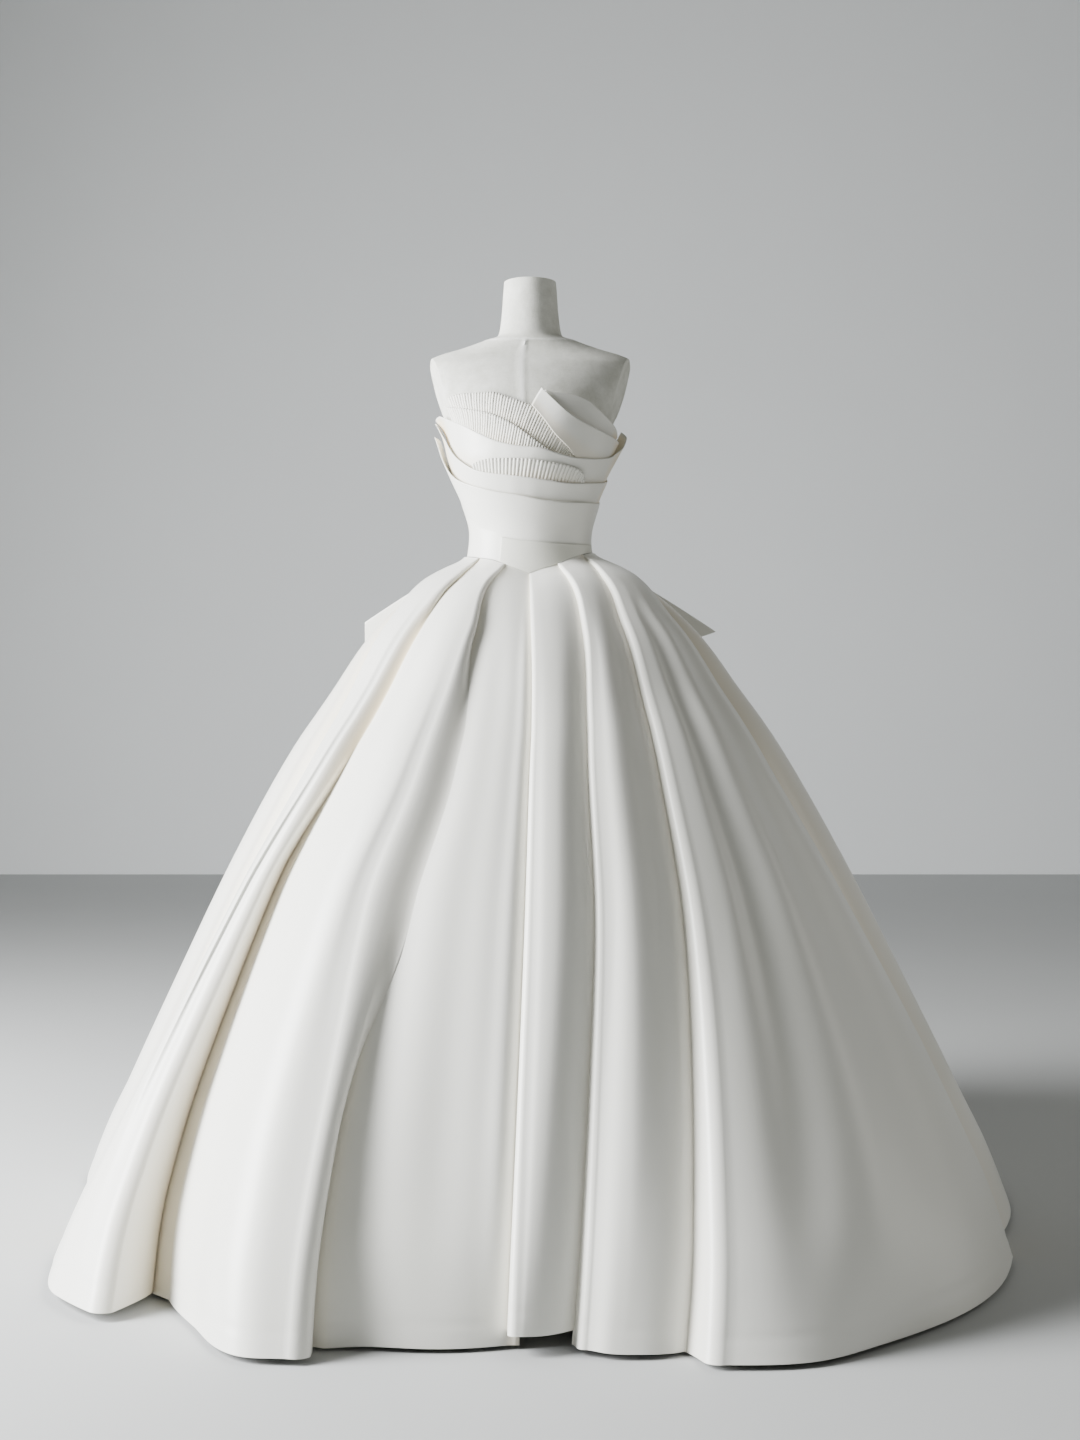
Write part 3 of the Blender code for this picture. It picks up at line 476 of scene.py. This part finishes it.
def pleatRelief(pleats, deep):
    # narrow rounded pleats, each a ridge with a tight groove beside it
    def relief(share, up, angle, height):
        within = share * pleats % 1.0
        ridge = 0.0
        if within < pleatLook["ridgeEnd"]:
            ridge = math.sin(math.pi * within / pleatLook["ridgeEnd"]) ** 0.7
        uneven = 1 + 0.35 * ripple(share * pleats * 0.7, up * 1.1, 3.1)
        # painted warm glow towards the lower edge, where it tucks under the next layer, strongest in the
        # grooves: light caught between the layers, painted into the colour
        paintedGlow = (1 - smoothStep(0.05, 0.85, up)) * smoothStep(0.1, 0.6, share)
        return deep * ridge * uneven, paintedGlow * (0.50 - 0.25 * ridge)
    return relief


def drapeRelief(seed, deep):
    # long soft creases along the layer; its flared ends and the strip by the next rim get a painted warm
    # glow, light caught under the rims painted into the colour
    def relief(share, up, angle, height):
        wave = ripple(angle / 26.0, height * 9.0, seed) * deep
        wave += ripple(angle / 9.0, height * 22.0, seed + 4) * deep * 0.35
        ends = smoothStep(66.0, 84.0, abs(angle)) * smoothStep(1.0, 0.93, up)
        return wave * smoothStep(0.0, 0.4, up), max(0.2 * (1 - smoothStep(0.2, 0.6, up)), 0.5 * ends)
    return relief


def addLayer(name, node, layer, columns, rows, relief, material, cut, pleatMap=None):
    piece = clothSheet(name, columns, rows, layerPlace(layer, relief), pleatMap or cut, bodiceCloth, 1.0,
                       material)
    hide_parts(node)
    return piece


addLayer("upper_fan", "fan_upper", fanUpper, 52 * 8, 16, pleatRelief(52, 0.0025), satinPleated,
         (0.29, 0.062), pleatMap=(52, 0.062))
addLayer("lower_fan", "fan_lower", fanLower, 44 * 8, 14, pleatRelief(44, 0.0024), satinPleated,
         (0.26, 0.046), pleatMap=(44, 0.046))
addLayer("pleated_inset", "pleat_inset", pleatInset, 34 * 8, 12, pleatRelief(34, 0.0022), satinPleated,
         (0.21, 0.042), pleatMap=(34, 0.042))
addLayer("lapel_back_layer", "lapel_back", lapelBack, 60, 24, drapeRelief(7.0, 0.0010), satin,
         (0.21, 0.062))
addLayer("lapel_front_layer", "lapel_front", lapelFront, 60, 24, drapeRelief(9.0, 0.0008), satin,
         (0.21, 0.064))
addLayer("upper_drape", "drape_upper", drapeUpper, 180, 24, drapeRelief(2.0, 0.0016), satin,
         (0.46, 0.082))
addLayer("middle_drape", "drape_middle", drapeMiddle, 180, 24, drapeRelief(5.0, 0.0012), satin,
         (0.46, 0.072))

print("midriff, basque and back")


def closeLift(angle, height):
    close = smoothRow(midriffLift, height)[0]
    if abs(angle) > sideSeamAngle:
        return close
    top, rimLift = smoothRow(midriffTop, angle)
    return blend(close, rimLift, max(0.0, 1.0 - (top - height) / midriffFlare))


midriffShares = spaced(midriffTop)


def midriffPlace(share, up):
    angle = smoothRow(midriffShares, share)[0]
    top = smoothRow(midriffTop, angle)[0]
    height = blend(seamHeight(angle) + 0.0003, top, up)
    soft = ripple(angle / 30.0, height * 14.0, 1.7) * 0.0009 * smoothStep(0.05, 0.4, up)
    return formPoint(angle, height, closeLift(angle, height) + soft), 0.0


def basquePlace(share, up):
    angle = blend(-26.5, 72.0, share)
    top = smoothRow(((-26.5, 1.196), (-9.0, 1.189), (13.0, 1.185), (32.5, 1.183), (72.0, 1.187)), angle)[0]
    height = blend(seamHeight(angle) + 0.0003, top, up)
    return formPoint(angle, height, closeLift(angle, height) + bodiceCloth + 0.0020), 0.0


def backPlace(side):
    def place(share, up):
        fromCentre = blend(0.15, 79.85, share)
        angle = side * (180.0 - fromCentre)
        top = smoothRow(((0.0, 1.338), (40.0, 1.350), (80.0, 1.372)), fromCentre)[0]
        height = blend(seamHeight(angle) + 0.0003, top, up)
        seam = -0.0008 * (hump(fromCentre, 0.0, 1.2) + 0.7 * hump(fromCentre, 42.0, 0.9))
        soft = ripple(angle / 18.0, height * 12.0, 6.1) * 0.0008
        return formPoint(angle, height, closeLift(angle, height) + seam * 0.5 + soft), 0.0
    return place


midriff = clothSheet("midriff", 200, 60, midriffPlace, (0.42, 0.15), bodiceCloth, 1.0, satin)
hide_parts("bodice_front")
basque = clothSheet("basque_panel", 120, 24, basquePlace, (0.18, 0.06), bodiceCloth, 1.0, satinAcrossShaded)
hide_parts("basque")
for name, node, side in (("back_left", "bodice_back_left", -1), ("back_right", "bodice_back_right", 1)):
    half = clothSheet(name, 70, 60, backPlace(side), (0.16, 0.19), bodiceCloth, 1.0, satin)
    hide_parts(node)

print("skirt")
# height, radius at the sides
skirtProfile = (
    (0.000, 0.826), (0.110, 0.786), (0.207, 0.740), (0.420, 0.638), (0.630, 0.535), (0.815, 0.433),
    (0.920, 0.362), (1.016, 0.297), (1.085, 0.230), (1.122, 0.181), (1.142, 0.147), (1.151, 0.130),
    (1.158, 0.1210), (1.163, 0.1175), (waistHeight, waistRadius),
)
# height, share of the hem's folds that shows there
foldGrowth = (
    (0.000, 1.00), (0.300, 0.76), (0.600, 0.50), (0.900, 0.28), (1.080, 0.12), (1.140, 0.04),
    (waistHeight, 0.00),
)
foldHeights = (1.155, 1.12, 1.04, 0.80, 0.60, 0.32, 0.0)
# angles from waist to hem, which side lies over, the radius of its rolled edge, how far its wall slopes
# out over the cloth beneath at the hem (negative: tucked back), how far that cloth dips towards it, how
# strongly a painted warm glow (light caught in the fold, painted into the colour) tints that cloth and the
# wall and how wide that painted glow reaches;
# open: the soft bend that takes the wall's place between two heights, its width and how strongly the painted
# glow tints it
folds = (
    {"angles": (-88, -80, -66, -57, -59, -62, -68), "over": 1, "roll": 0.014, "slope": -0.004,
     "dip": 0.040, "paintedGlow": 0.65, "wall": 0.6, "glow": 0.070},
    {"angles": (-56, -46, -44, -46, -49, -48, -42), "over": -1, "roll": 0.024, "slope": -0.050,
     "dip": 0.0, "paintedGlow": 0.25, "wall": 0.7, "glow": 0.006, "open": 0.024, "openPaintedGlow": 0.75,
     "openLow": (0.62, 0.88), "openHigh": (1.02, 1.12)},
    {"angles": (-26, -24, -20, -20.5, -23, -22.5, -20), "over": -1, "roll": 0.022, "slope": -0.026,
     "dip": 0.006, "paintedGlow": 0.12, "wall": 0.2, "glow": 0.012, "open": 0.070, "openPaintedGlow": 0.06,
     "openLow": (0.28, 0.60), "openHigh": (0.86, 1.06)},
    {"angles": (0, 0, 0, -1, -1.4, -2, -2.6), "over": 1, "roll": 0.011, "slope": 0.003,
     "dip": 0.002, "paintedGlow": 0.25, "wall": 0.1, "glow": 0.005},
    {"angles": (29, 24, 18.5, 11.5, 10, 7, 4.2), "over": 1, "roll": 0.012, "slope": 0.006,
     "dip": 0.003, "paintedGlow": 0.20, "wall": 0.1, "glow": 0.006},
    {"angles": (60, 45, 34.5, 27, 24.5, 20, 15), "over": 1, "roll": 0.022, "slope": 0.009,
     "dip": 0.003, "paintedGlow": 0.25, "wall": 0.1, "glow": 0.012},
    {"angles": (87, 76, 62, 59.5, 62.5, 66, 63), "over": -1, "roll": 0.012, "slope": -0.004,
     "dip": 0.040, "paintedGlow": 0.65, "wall": 0.6, "glow": 0.070},
    {"angles": (118, 114, 108, 102, 101, 100, 99), "over": -1, "roll": 0.014, "slope": -0.006,
     "dip": 0.012, "paintedGlow": 0.35, "wall": 0.5, "glow": 0.020},
    {"angles": (149, 147, 144, 141, 140, 139, 138), "over": -1, "roll": 0.016, "slope": -0.006,
     "dip": 0.012, "paintedGlow": 0.35, "wall": 0.5, "glow": 0.020},
    {"angles": (180, 180, 180, 180, 180, 180, 180), "over": -1, "roll": 0.012, "slope": -0.004,
     "dip": 0.008, "paintedGlow": 0.30, "wall": 0.4, "glow": 0.016},
    {"angles": (211, 213, 216, 219, 220, 221, 222), "over": 1, "roll": 0.018, "slope": -0.006,
     "dip": 0.012, "paintedGlow": 0.35, "wall": 0.5, "glow": 0.020},
    {"angles": (242, 246, 252, 258, 259, 260, 261), "over": 1, "roll": 0.014, "slope": -0.006,
     "dip": 0.012, "paintedGlow": 0.35, "wall": 0.5, "glow": 0.020},
)
# hem: share of the gore's width, radius; creases: share at the waist and at the hem, width, height of
# the ridge (negative for a trough), and the heights between which it shows
gores = (
    {"hem": ((0.0, 0.832), (0.3, 0.872), (0.7, 0.926), (1.0, 0.926)), "bulge": 0.008, "hemHeight": 0.010,
     "creases": ((0.55, 0.42, 0.15, -0.010, 0.1, 1.08), (0.80, 0.80, 0.12, 0.007, 0.2, 1.12),
                 (0.2, 0.16, 0.10, 0.005, 0.2, 1.1))},
    {"hem": ((0.0, 0.810), (0.35, 0.860), (0.75, 0.918), (1.0, 0.900)), "bulge": 0.012, "hemHeight": 0.006,
     "creases": ((0.30, 0.34, 0.15, -0.006, 0.0, 1.10), (0.60, 0.62, 0.14, 0.003, 0.2, 1.13))},
    {"hem": ((0.0, 0.850), (0.25, 0.822), (0.6, 0.812), (1.0, 0.786)), "bulge": 0.008, "hemHeight": 0.006,
     "creases": ((0.88, 0.92, 0.08, 0.011, 0.12, 1.12), (0.50, 0.60, 0.18, -0.010, 0.1, 1.08))},
    {"hem": ((0.0, 0.815), (0.4, 0.812), (1.0, 0.784)), "bulge": 0.010, "hemHeight": 0.026,
     "creases": ((0.60, 0.55, 0.20, 0.004, 0.2, 1.10), (0.85, 0.84, 0.10, -0.003, 0.2, 1.0))},
    {"hem": ((0.0, 0.806), (0.4, 0.830), (0.8, 0.838), (1.0, 0.832)), "bulge": 0.010, "hemHeight": 0.006,
     "creases": ((0.30, 0.42, 0.14, 0.006, 0.1, 1.10), (0.62, 0.70, 0.12, -0.008, 0.3, 1.12))},
    {"hem": ((0.0, 0.890), (0.2, 0.922), (0.35, 0.911), (0.6, 0.900), (1.0, 0.856)), "bulge": 0.006,
     "hemHeight": 0.004,
     "creases": ((0.30, 0.17, 0.08, -0.012, 0.10, 1.10), (0.50, 0.33, 0.10, 0.012, 0.05, 1.12),
                 (0.72, 0.60, 0.10, -0.006, 0.1, 1.08), (0.88, 0.84, 0.10, 0.003, 0.2, 1.1))},
    {"hem": ((0.0, 0.815), (0.4, 0.838), (0.8, 0.856), (1.0, 0.862)), "bulge": 0.002, "hemHeight": 0.006,
     "creases": ((0.4, 0.40, 0.12, 0.005, 0.1, 1.1), (0.68, 0.70, 0.10, -0.006, 0.2, 1.1))},
    {"hem": ((0.0, 0.828), (0.5, 0.872), (1.0, 0.880)), "bulge": 0.010, "hemHeight": 0.006,
     "creases": ((0.45, 0.38, 0.12, 0.009, 0.1, 1.1), (0.72, 0.70, 0.10, -0.006, 0.1, 1.05))},
    {"hem": ((0.0, 0.842), (0.5, 0.885), (1.0, 0.878)), "bulge": 0.010, "hemHeight": 0.006,
     "creases": ((0.55, 0.60, 0.12, 0.008, 0.1, 1.1), (0.3, 0.25, 0.08, -0.008, 0.1, 1.1))},
    {"hem": ((0.0, 0.846), (0.5, 0.885), (1.0, 0.842)), "bulge": 0.010, "hemHeight": 0.006,
     "creases": ((0.45, 0.42, 0.12, 0.008, 0.1, 1.1), (0.74, 0.76, 0.08, -0.007, 0.1, 1.1))},
    {"hem": ((0.0, 0.880), (0.5, 0.868), (1.0, 0.820)), "bulge": 0.008, "hemHeight": 0.006,
     "creases": ((0.55, 0.60, 0.12, 0.009, 0.1, 1.1), (0.3, 0.22, 0.08, -0.008, 0.1, 1.1))},
    {"hem": ((0.0, 0.852), (0.3, 0.820), (0.8, 0.800), (1.0, 0.796)), "bulge": 0.002, "hemHeight": 0.006,
     "creases": ((0.62, 0.62, 0.12, -0.008, 0.1, 1.08), (0.30, 0.30, 0.10, 0.003, 0.1, 1.1))},
)
skirtLook = {
    "faceColumns": 54, "arcSteps": 12, "returnSteps": 6, "rows": 120, "hidden": 0.018,
    "layerLift": 0.0046, "layerReach": 0.05, "footLift": 0.0008, "standOff": 0.0028, "topGap": 0.0006,
    "hemLine": 0.030, "waistReach": 1.02, "cutLength": 1.42,
    "fullWidth": 0.38, "cutRadius": 0.87, "cutUnder": 0.07, "waistCutRadius": 0.12, "waistCutUnder": 0.02,
}
hemRadius = skirtProfile[0][1]


def tableOf(rows, steps):
    # a table read once at even steps, for speed
    low, high = rows[0][0], rows[-1][0]
    values = [smoothRow(rows, blend(low, high, step / steps)) for step in range(steps + 1)]

    def read(at):
        spot = min(max((at - low) / (high - low), 0.0), 1.0) * steps
        index = min(int(spot), steps - 1)
        part = spot - index
        return [blend(a, b, part) for a, b in zip(values[index], values[index + 1])]
    return read


profileAt = tableOf(skirtProfile, 3000)
growthAt = tableOf(foldGrowth, 600)
seamAt = tableOf(waistSeam, 1440)
ringAt = tableOf(formRings, 3000)


def skirtPoint(angle, nominal, ownHem, lift):
    turn = math.radians(angle)
    sine, cosine = math.sin(turn), math.cos(turn)
    radius = profileAt(nominal)[0] * (1 + growthAt(nominal)[0] * (ownHem / hemRadius - 1))
    halfWidth, front, back = ringAt(waistHeight)
    oval = math.degrees(math.atan2(sine / halfWidth, cosine / (front if cosine > 0 else back)))
    top = seamAt(oval)[0] - skirtLook["topGap"]
    height = nominal * top / waistHeight
    halfWidth, front, back = ringAt(height)
    formRadius = 1 / math.hypot(sine / halfWidth, cosine / (front if cosine > 0 else back))
    reach = skirtLook["waistReach"]
    nearWaist = max(0.0, (nominal - reach) / (waistHeight - reach)) ** 3
    radius += (formRadius + skirtLook["standOff"] - waistRadius) * nearWaist
    radius = max(radius, formRadius + skirtLook["standOff"])
    slope = (profileAt(nominal + 0.003)[0] - profileAt(nominal - 0.003)[0]) / 0.006
    slope *= smoothStep(waistHeight - 0.001, waistHeight - 0.006, nominal)
    steep = math.hypot(1.0, slope)
    radius += lift / steep
    height -= lift * slope / steep
    shift = skirtShiftX * min(1.0, 4 * (1.0 - nominal / waistHeight))
    return Vector((radius * sine + shift, -radius * cosine, height))


def goreColumns(left, right):
    # each column: share across, side of the fold it belongs to, how far round its roll and its return
    look = skirtLook
    roll = [(step / look["arcSteps"], 0.0) for step in range(1, look["arcSteps"] + 1)]
    roll += [(1.0, step / look["returnSteps"]) for step in range(1, look["returnSteps"] + 1)]
    columns = []
    if left["over"] > 0:
        columns += [(0.0, -1, arc, back) for arc, back in reversed(roll)]
    else:
        columns += [(0.0, -1, -1.0, 1.0), (0.0, -1, -1.0, 0.5)]
    columns += [(step / look["faceColumns"], 0, 0.0, 0.0) for step in range(look["faceColumns"] + 1)]
    if right["over"] < 0:
        columns += [(1.0, 1, arc, back) for arc, back in roll]
    else:
        columns += [(1.0, 1, -1.0, 0.5), (1.0, 1, -1.0, 1.0)]
    return columns


def rowHeights():
    # rows crowd at the waist and at the hem
    rows = skirtLook["rows"]
    return [waistHeight * (1 + math.cos(math.pi * (step / rows) ** 1.25)) / 2 for step in range(rows + 1)]


hemTables = [tableOf(gore["hem"], 200) for gore in gores]
angleTables = [tableOf(tuple(zip(reversed(foldHeights), reversed(fold["angles"]))), 400) for fold in folds]


def foldAt(index, side):
    return folds[index] if side < 0 else folds[(index + 1) % len(folds)]


def liesOver(index, side):
    return foldAt(index, side)["over"] == -side


def foldAngles(index, nominal):
    leftAngle = angleTables[index](nominal)[0]
    rightAngle = angleTables[(index + 1) % len(folds)](nominal)[0]
    return leftAngle, rightAngle + (360.0 if rightAngle < leftAngle else 0.0)


def surfaceLift(index, share, nominal, width):
    # how far a gore's face stands off the plain skirt: its layer, roundness, creases and dips
    gore, look = gores[index], skirtLook
    layer = look["layerLift"] * (1 + min(1.0, (waistHeight - nominal) / look["layerReach"]))
    lift = blend(layer * liesOver(index, -1), layer * liesOver(index, 1), share)
    lift += gore["bulge"] * math.sin(math.pi * share) * math.sin(math.pi * nominal / waistHeight)
    for top, low, wide, deep, zLow, zTop in gore["creases"]:
        middle = blend(low, top, nominal / waistHeight)
        shown = smoothStep(zLow - 0.15, zLow + 0.2, nominal) * (1 - smoothStep(zTop - 0.14, zTop, nominal))
        lift += deep * hump(share, middle, wide) * shown * min(1.0, width / look["fullWidth"])
    soft = 0.0030 * growthAt(nominal)[0] * ripple(share * 2.6 + index * 5.3, nominal * 1.7)
    belowWaist = smoothStep(waistHeight - 0.02, waistHeight - 0.14, nominal)
    lift += soft * belowWaist
    for side, away in ((-1, share * width), (1, (1 - share) * width)):
        if not liesOver(index, side):
            lift -= foldAt(index, side)["dip"] * hump(away, 0.0, 0.05) * belowWaist
    return lift - 0.0007 * hump(nominal - gore["hemHeight"], look["hemLine"], 0.0035)


def makeGore(index):
    gore, look = gores[index], skirtLook
    columns, heights = goreColumns(folds[index], folds[(index + 1) % len(folds)]), rowHeights()
    lastColumn, lastRow = len(columns) - 1, len(heights) - 1

    def place(across, up):
        share, side, arc, back = columns[round(across * lastColumn)]
        nominal = blend(gore["hemHeight"], waistHeight, heights[lastRow - round(up * lastRow)] / waistHeight)
        growth = growthAt(nominal)[0]
        leftAngle, rightAngle = foldAngles(index, nominal)
        angle = blend(leftAngle, rightAngle, share)
        metre = math.degrees(1 / profileAt(nominal)[0])
        width = (rightAngle - leftAngle) / metre
        ownHem = hemTables[index](share)[0]
        lift = surfaceLift(index, share, nominal, width)
        belowWaist = smoothStep(waistHeight - 0.02, waistHeight - 0.14, nominal)
        if side and arc < 0:
            fold = foldAt(index, side)
            hidden = (look["hidden"] - 0.8 * fold["slope"]) * (0.2 + 0.8 * growth)
            # hidden cloth under a fold takes the fold's painted warm glow in full
            return skirtPoint(angle + side * hidden * back * metre, nominal, ownHem, lift), fold["paintedGlow"]
        # depth: how strongly the painted warm glow tints the cloth here, light caught in the fold painted
        # into the colour, strongest beside a fold and on its wall
        depth = 0.0
        for end, away in ((-1, share * width), (1, (1 - share) * width)):
            fold = foldAt(index, end)
            if not liesOver(index, end):
                depth = max(depth, fold["paintedGlow"] * math.exp(-away / fold["glow"]))
                continue
            # the face draws back, so that the fold's edge lies on its track
            other = (index + end) % len(gores)
            under = hemTables[other](0.0 if end > 0 else 1.0)[0]
            step = max(0.0, (ownHem - under) * growth) + look["layerLift"] * 1.5 + fold["dip"] * belowWaist
            roll = min(fold["roll"], 0.45 * step, 0.2 * width)
            bend = min(fold.get("open", 0.0), 0.3 * width)
            soft = 0.0
            if bend:
                soft = smoothStep(*fold["openLow"], nominal) * (1 - smoothStep(*fold["openHigh"], nominal))
            drawn = blend(roll, 0.45 * bend, soft)
            angle -= end * drawn * metre * (1 - smoothStep(0.0, 0.3, away / width))
            if end != side:
                continue
            quarter = 0.5 * math.pi * arc
            drop = blend(roll * (1 - math.cos(quarter)) / step, 1.0, 1 - (1 - back) ** 2)
            spread = roll * math.sin(quarter) + fold["slope"] * growth * back
            footLift = look["footLift"] - fold["dip"] * belowWaist
            # the fold's wall takes the painted warm glow
            depth = max(depth, fold["wall"] * (0.2 * arc + 0.8 * back) * (1 - soft))
            if soft > 0.0:
                along = 0.6 * arc + 0.4 * back
                spread = blend(spread, bend * along, soft)
                drop = blend(drop, smoothStep(0.0, 1.0, along), soft)
                otherLeft, otherRight = foldAngles(other, nominal)
                otherWidth = (otherRight - otherLeft) / metre
                reach = max(0.0, spread - drawn) / otherWidth
                reach = reach if end > 0 else 1 - reach
                under = blend(under, hemTables[other](reach)[0], soft)
                footLift = blend(footLift, surfaceLift(other, reach, nominal, otherWidth) - 0.0004, soft)
                # the soft bend takes its own painted warm glow
                depth = max(depth, fold["openPaintedGlow"] * hump(along, 0.72, 0.42) * soft)
            angle += end * spread * metre
            ownHem = blend(ownHem, under, drop)
            lift = blend(lift, footLift, drop)
        return skirtPoint(angle, nominal, ownHem, lift), depth

    leftAngle, rightAngle = foldAngles(index, 0.0)
    cutWidth = math.radians(rightAngle - leftAngle) * look["cutRadius"] + look["cutUnder"]
    leftAngle, rightAngle = foldAngles(index, 1.155)
    topWidth = math.radians(rightAngle - leftAngle) * look["waistCutRadius"] + look["waistCutUnder"]
    piece = clothSheet(f"skirt_gore_{index + 1}", lastColumn, lastRow, place,
                       (cutWidth, skirtLook["cutLength"]), skirtCloth, 0.0, satin)
    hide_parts(f"gore_{index + 1}")
    (cutWidth + topWidth) / 2 * skirtLook["cutLength"]


for index in range(len(gores)):
    makeGore(index)

print("bow")
bowLook = {"knotHeight": 1.196, "knotHalfWidth": 0.030, "loopHeight": 0.130, "puff": 0.045,
           "knotMiddle": 0.0995, "cloth": 0.0016}
# name, side, reach, height of the tip, how far the lower corner draws in
loops = (("left", -1, 0.318, 1.056, 0.0), ("right", 1, 0.356, 1.038, 0.125))


def loopPlace(side, farthest, tip, slant):
    start = bowLook["knotHalfWidth"] + 0.0008

    def place(share, up):
        out = math.sin(math.pi * share)
        reach = blend(start, farthest - slant * (1 - up), out)
        along = (reach - start) / (farthest - start)
        top = blend(bowLook["knotHeight"] + 0.012, tip, along**1.25)
        tall = blend(0.024, bowLook["loopHeight"], along**0.8)
        height = top - tall * (1 - up)
        clear = profileAt(height)[0] + 0.040
        skirtBack = math.sqrt(max(0.0, clear**2 - reach**2))
        back = max(bowLook["knotMiddle"] - 0.008 + 0.06 * along, skirtBack)
        back = blend(bowLook["knotMiddle"] - 0.007, back, min(1.0, along / 0.25))
        puff = bowLook["puff"] * math.sin(math.pi * min(1.0, along * 0.95 + 0.05)) + 0.014
        if share > 0.5:
            back += puff * (1.0 - 0.9 * max(0.0, along - 0.8) / 0.2)
        gather = math.exp(-along / 0.22)
        back += 0.0035 * gather * math.sin(up * math.pi * 6) * (1 if share > 0.5 else -1)
        back += 0.003 * ripple(along * 4, up * 3, side * 2.0 + share)
        # the gathers next to the knot get the painted warm glow, light caught in them painted into the
        # colour
        return Vector((side * reach, back, height)), 0.6 * gather
    return place


for name, side, farthest, tip, slant in loops:
    loop = clothSheet(f"bow_{name}", 120, 36, loopPlace(side, farthest, tip, slant), (0.72, 0.15),
                      bowLook["cloth"], 0.0, satin)
    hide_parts(f"bow_loop_{name}")


def makeKnot():
    low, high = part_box("bow_knot")
    bm = bmesh.new()
    bmesh.ops.create_cube(bm, size=1.0)
    bmesh.ops.subdivide_edges(bm, edges=bm.edges, cuts=11, use_grid_fill=True)
    size = [high[axis] - low[axis] for axis in range(3)]
    centre = [(high[axis] + low[axis]) / 2 for axis in range(3)]
    uv = bm.loops.layers.uv.new("cloth")
    bm.verts.layers.float.new("fold")
    for vert in bm.verts:
        ball = vert.co.normalized() * 0.5
        soft = vert.co.lerp(ball, 0.45)
        crease = 1 - 0.045 * (0.5 + 0.5 * math.sin(vert.co.x * 26 + 2 * vert.co.z))
        vert.co = Vector((centre[0] + soft.x * size[0] * 1.1, centre[1] + soft.y * size[1] * crease,
                          centre[2] + soft.z * size[2] * 1.05 * crease))
    for face in bm.faces:
        face.smooth = True
        for corner in face.loops:
            corner[uv].uv = (corner.vert.co.x, corner.vert.co.z)
    mesh = bpy.data.meshes.new("bow_knot_wrap")
    bm.to_mesh(mesh)
    bm.free()
    piece = bpy.data.objects.new("bow_knot_wrap", mesh)
    bpy.context.scene.collection.objects.link(piece)
    mesh.materials.append(satin)
    rounding = piece.modifiers.new("round", "SUBSURF")
    rounding.levels = rounding.render_levels = 1
    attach(piece, body)
    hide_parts("bow_knot")


makeKnot()

print("stand")
for name in ("stand_base", "stand_pole"):
    for slot in bpy.data.objects[name].material_slots:
        slot.material = paintedMetal

print("floor, light and camera")
stageLook = {"floor": (0.52, 0.53, 0.53, 1), "wall": (0.93, 0.95, 0.96, 1), "wallY": 6.5, "halfWidth": 9.0,
             "floorZ": -0.0005, "wallMiddle": 3.0}


def stageMaterial(name, colour):
    material, graph, shader = newMaterial(name)
    place = graph.node("ShaderNodeTexCoord", out="Object")
    grain = place.cloud(1.6, 3.0)
    darker = tuple(0.96 * value for value in colour[:3]) + (1,)
    join(shader, "Base Color", grain.mixColour(darker, colour))
    shader.inputs["Roughness"].default_value = 0.75
    return material


def stagePlane(name, paint, colour, place):
    bm = bmesh.new()
    bmesh.ops.create_grid(bm, x_segments=1, y_segments=1, size=stageLook["halfWidth"])
    for vert in bm.verts:
        vert.co = place(vert.co)
    mesh = bpy.data.meshes.new(name)
    bm.to_mesh(mesh)
    bm.free()
    plane = bpy.data.objects.new(name, mesh)
    mesh.materials.append(stageMaterial(paint, colour))
    bpy.context.scene.collection.objects.link(plane)


def floorPlace(point):
    depth = stageLook["wallY"] if point.y > 0 else -stageLook["halfWidth"]
    return Vector((point.x, depth, stageLook["floorZ"]))


def wallPlace(point):
    return Vector((point.x, stageLook["wallY"], stageLook["wallMiddle"] + point.y / 3.0))


def addLight(name, place, target, size, power, colour):
    lamp = bpy.data.lights.new(name, "AREA")
    lamp.shape = "RECTANGLE"
    lamp.size, lamp.size_y = size
    lamp.energy = power
    lamp.color = colour
    light = bpy.data.objects.new(name, lamp)
    light.location = place
    light.rotation_euler = (Vector(target) - Vector(place)).to_track_quat("-Z", "Y").to_euler()
    bpy.context.scene.collection.objects.link(light)


stagePlane("floor", "floor_paint", stageLook["floor"], floorPlace)
stagePlane("backdrop", "wall_paint", stageLook["wall"], wallPlace)
# name, place, target, width and height, watts, colour
lamps = (
    ("side_key", (-3.4, -0.9, 1.9), (0.0, 0.0, 0.7), (1.3, 2.6), 720, (0.985, 0.995, 1.0)),
    ("front_fill", (-0.6, -4.8, 2.2), (0.0, 0.0, 0.7), (2.4, 2.0), 6, (1.0, 1.0, 0.90)),
    ("right_edge", (3.4, 0.1, 1.6), (0.2, 0.0, 0.7), (1.0, 2.6), 22, (1.0, 0.99, 0.93)),
)
for lampRow in lamps:
    addLight(*lampRow)
world = bpy.data.worlds.new("studio")
world.use_nodes = True
world.node_tree.nodes["Background"].inputs["Color"].default_value = (0.82, 0.84, 0.78, 1)
world.node_tree.nodes["Background"].inputs["Strength"].default_value = 0.135
bpy.context.scene.world = world

photoSize = (1080, 1440)
focalPixels = 1716
lens = bpy.data.cameras.new("camera")
lens.sensor_width = 36
lens.sensor_fit = "AUTO"
lens.lens = focalPixels / photoSize[1] * lens.sensor_width
camera = bpy.data.objects.new("camera", lens)
camera.location = (0.018, -3.15, 0.868)
camera.rotation_euler = (math.radians(90), 0, 0)
bpy.context.scene.collection.objects.link(camera)
bpy.context.scene.camera = camera
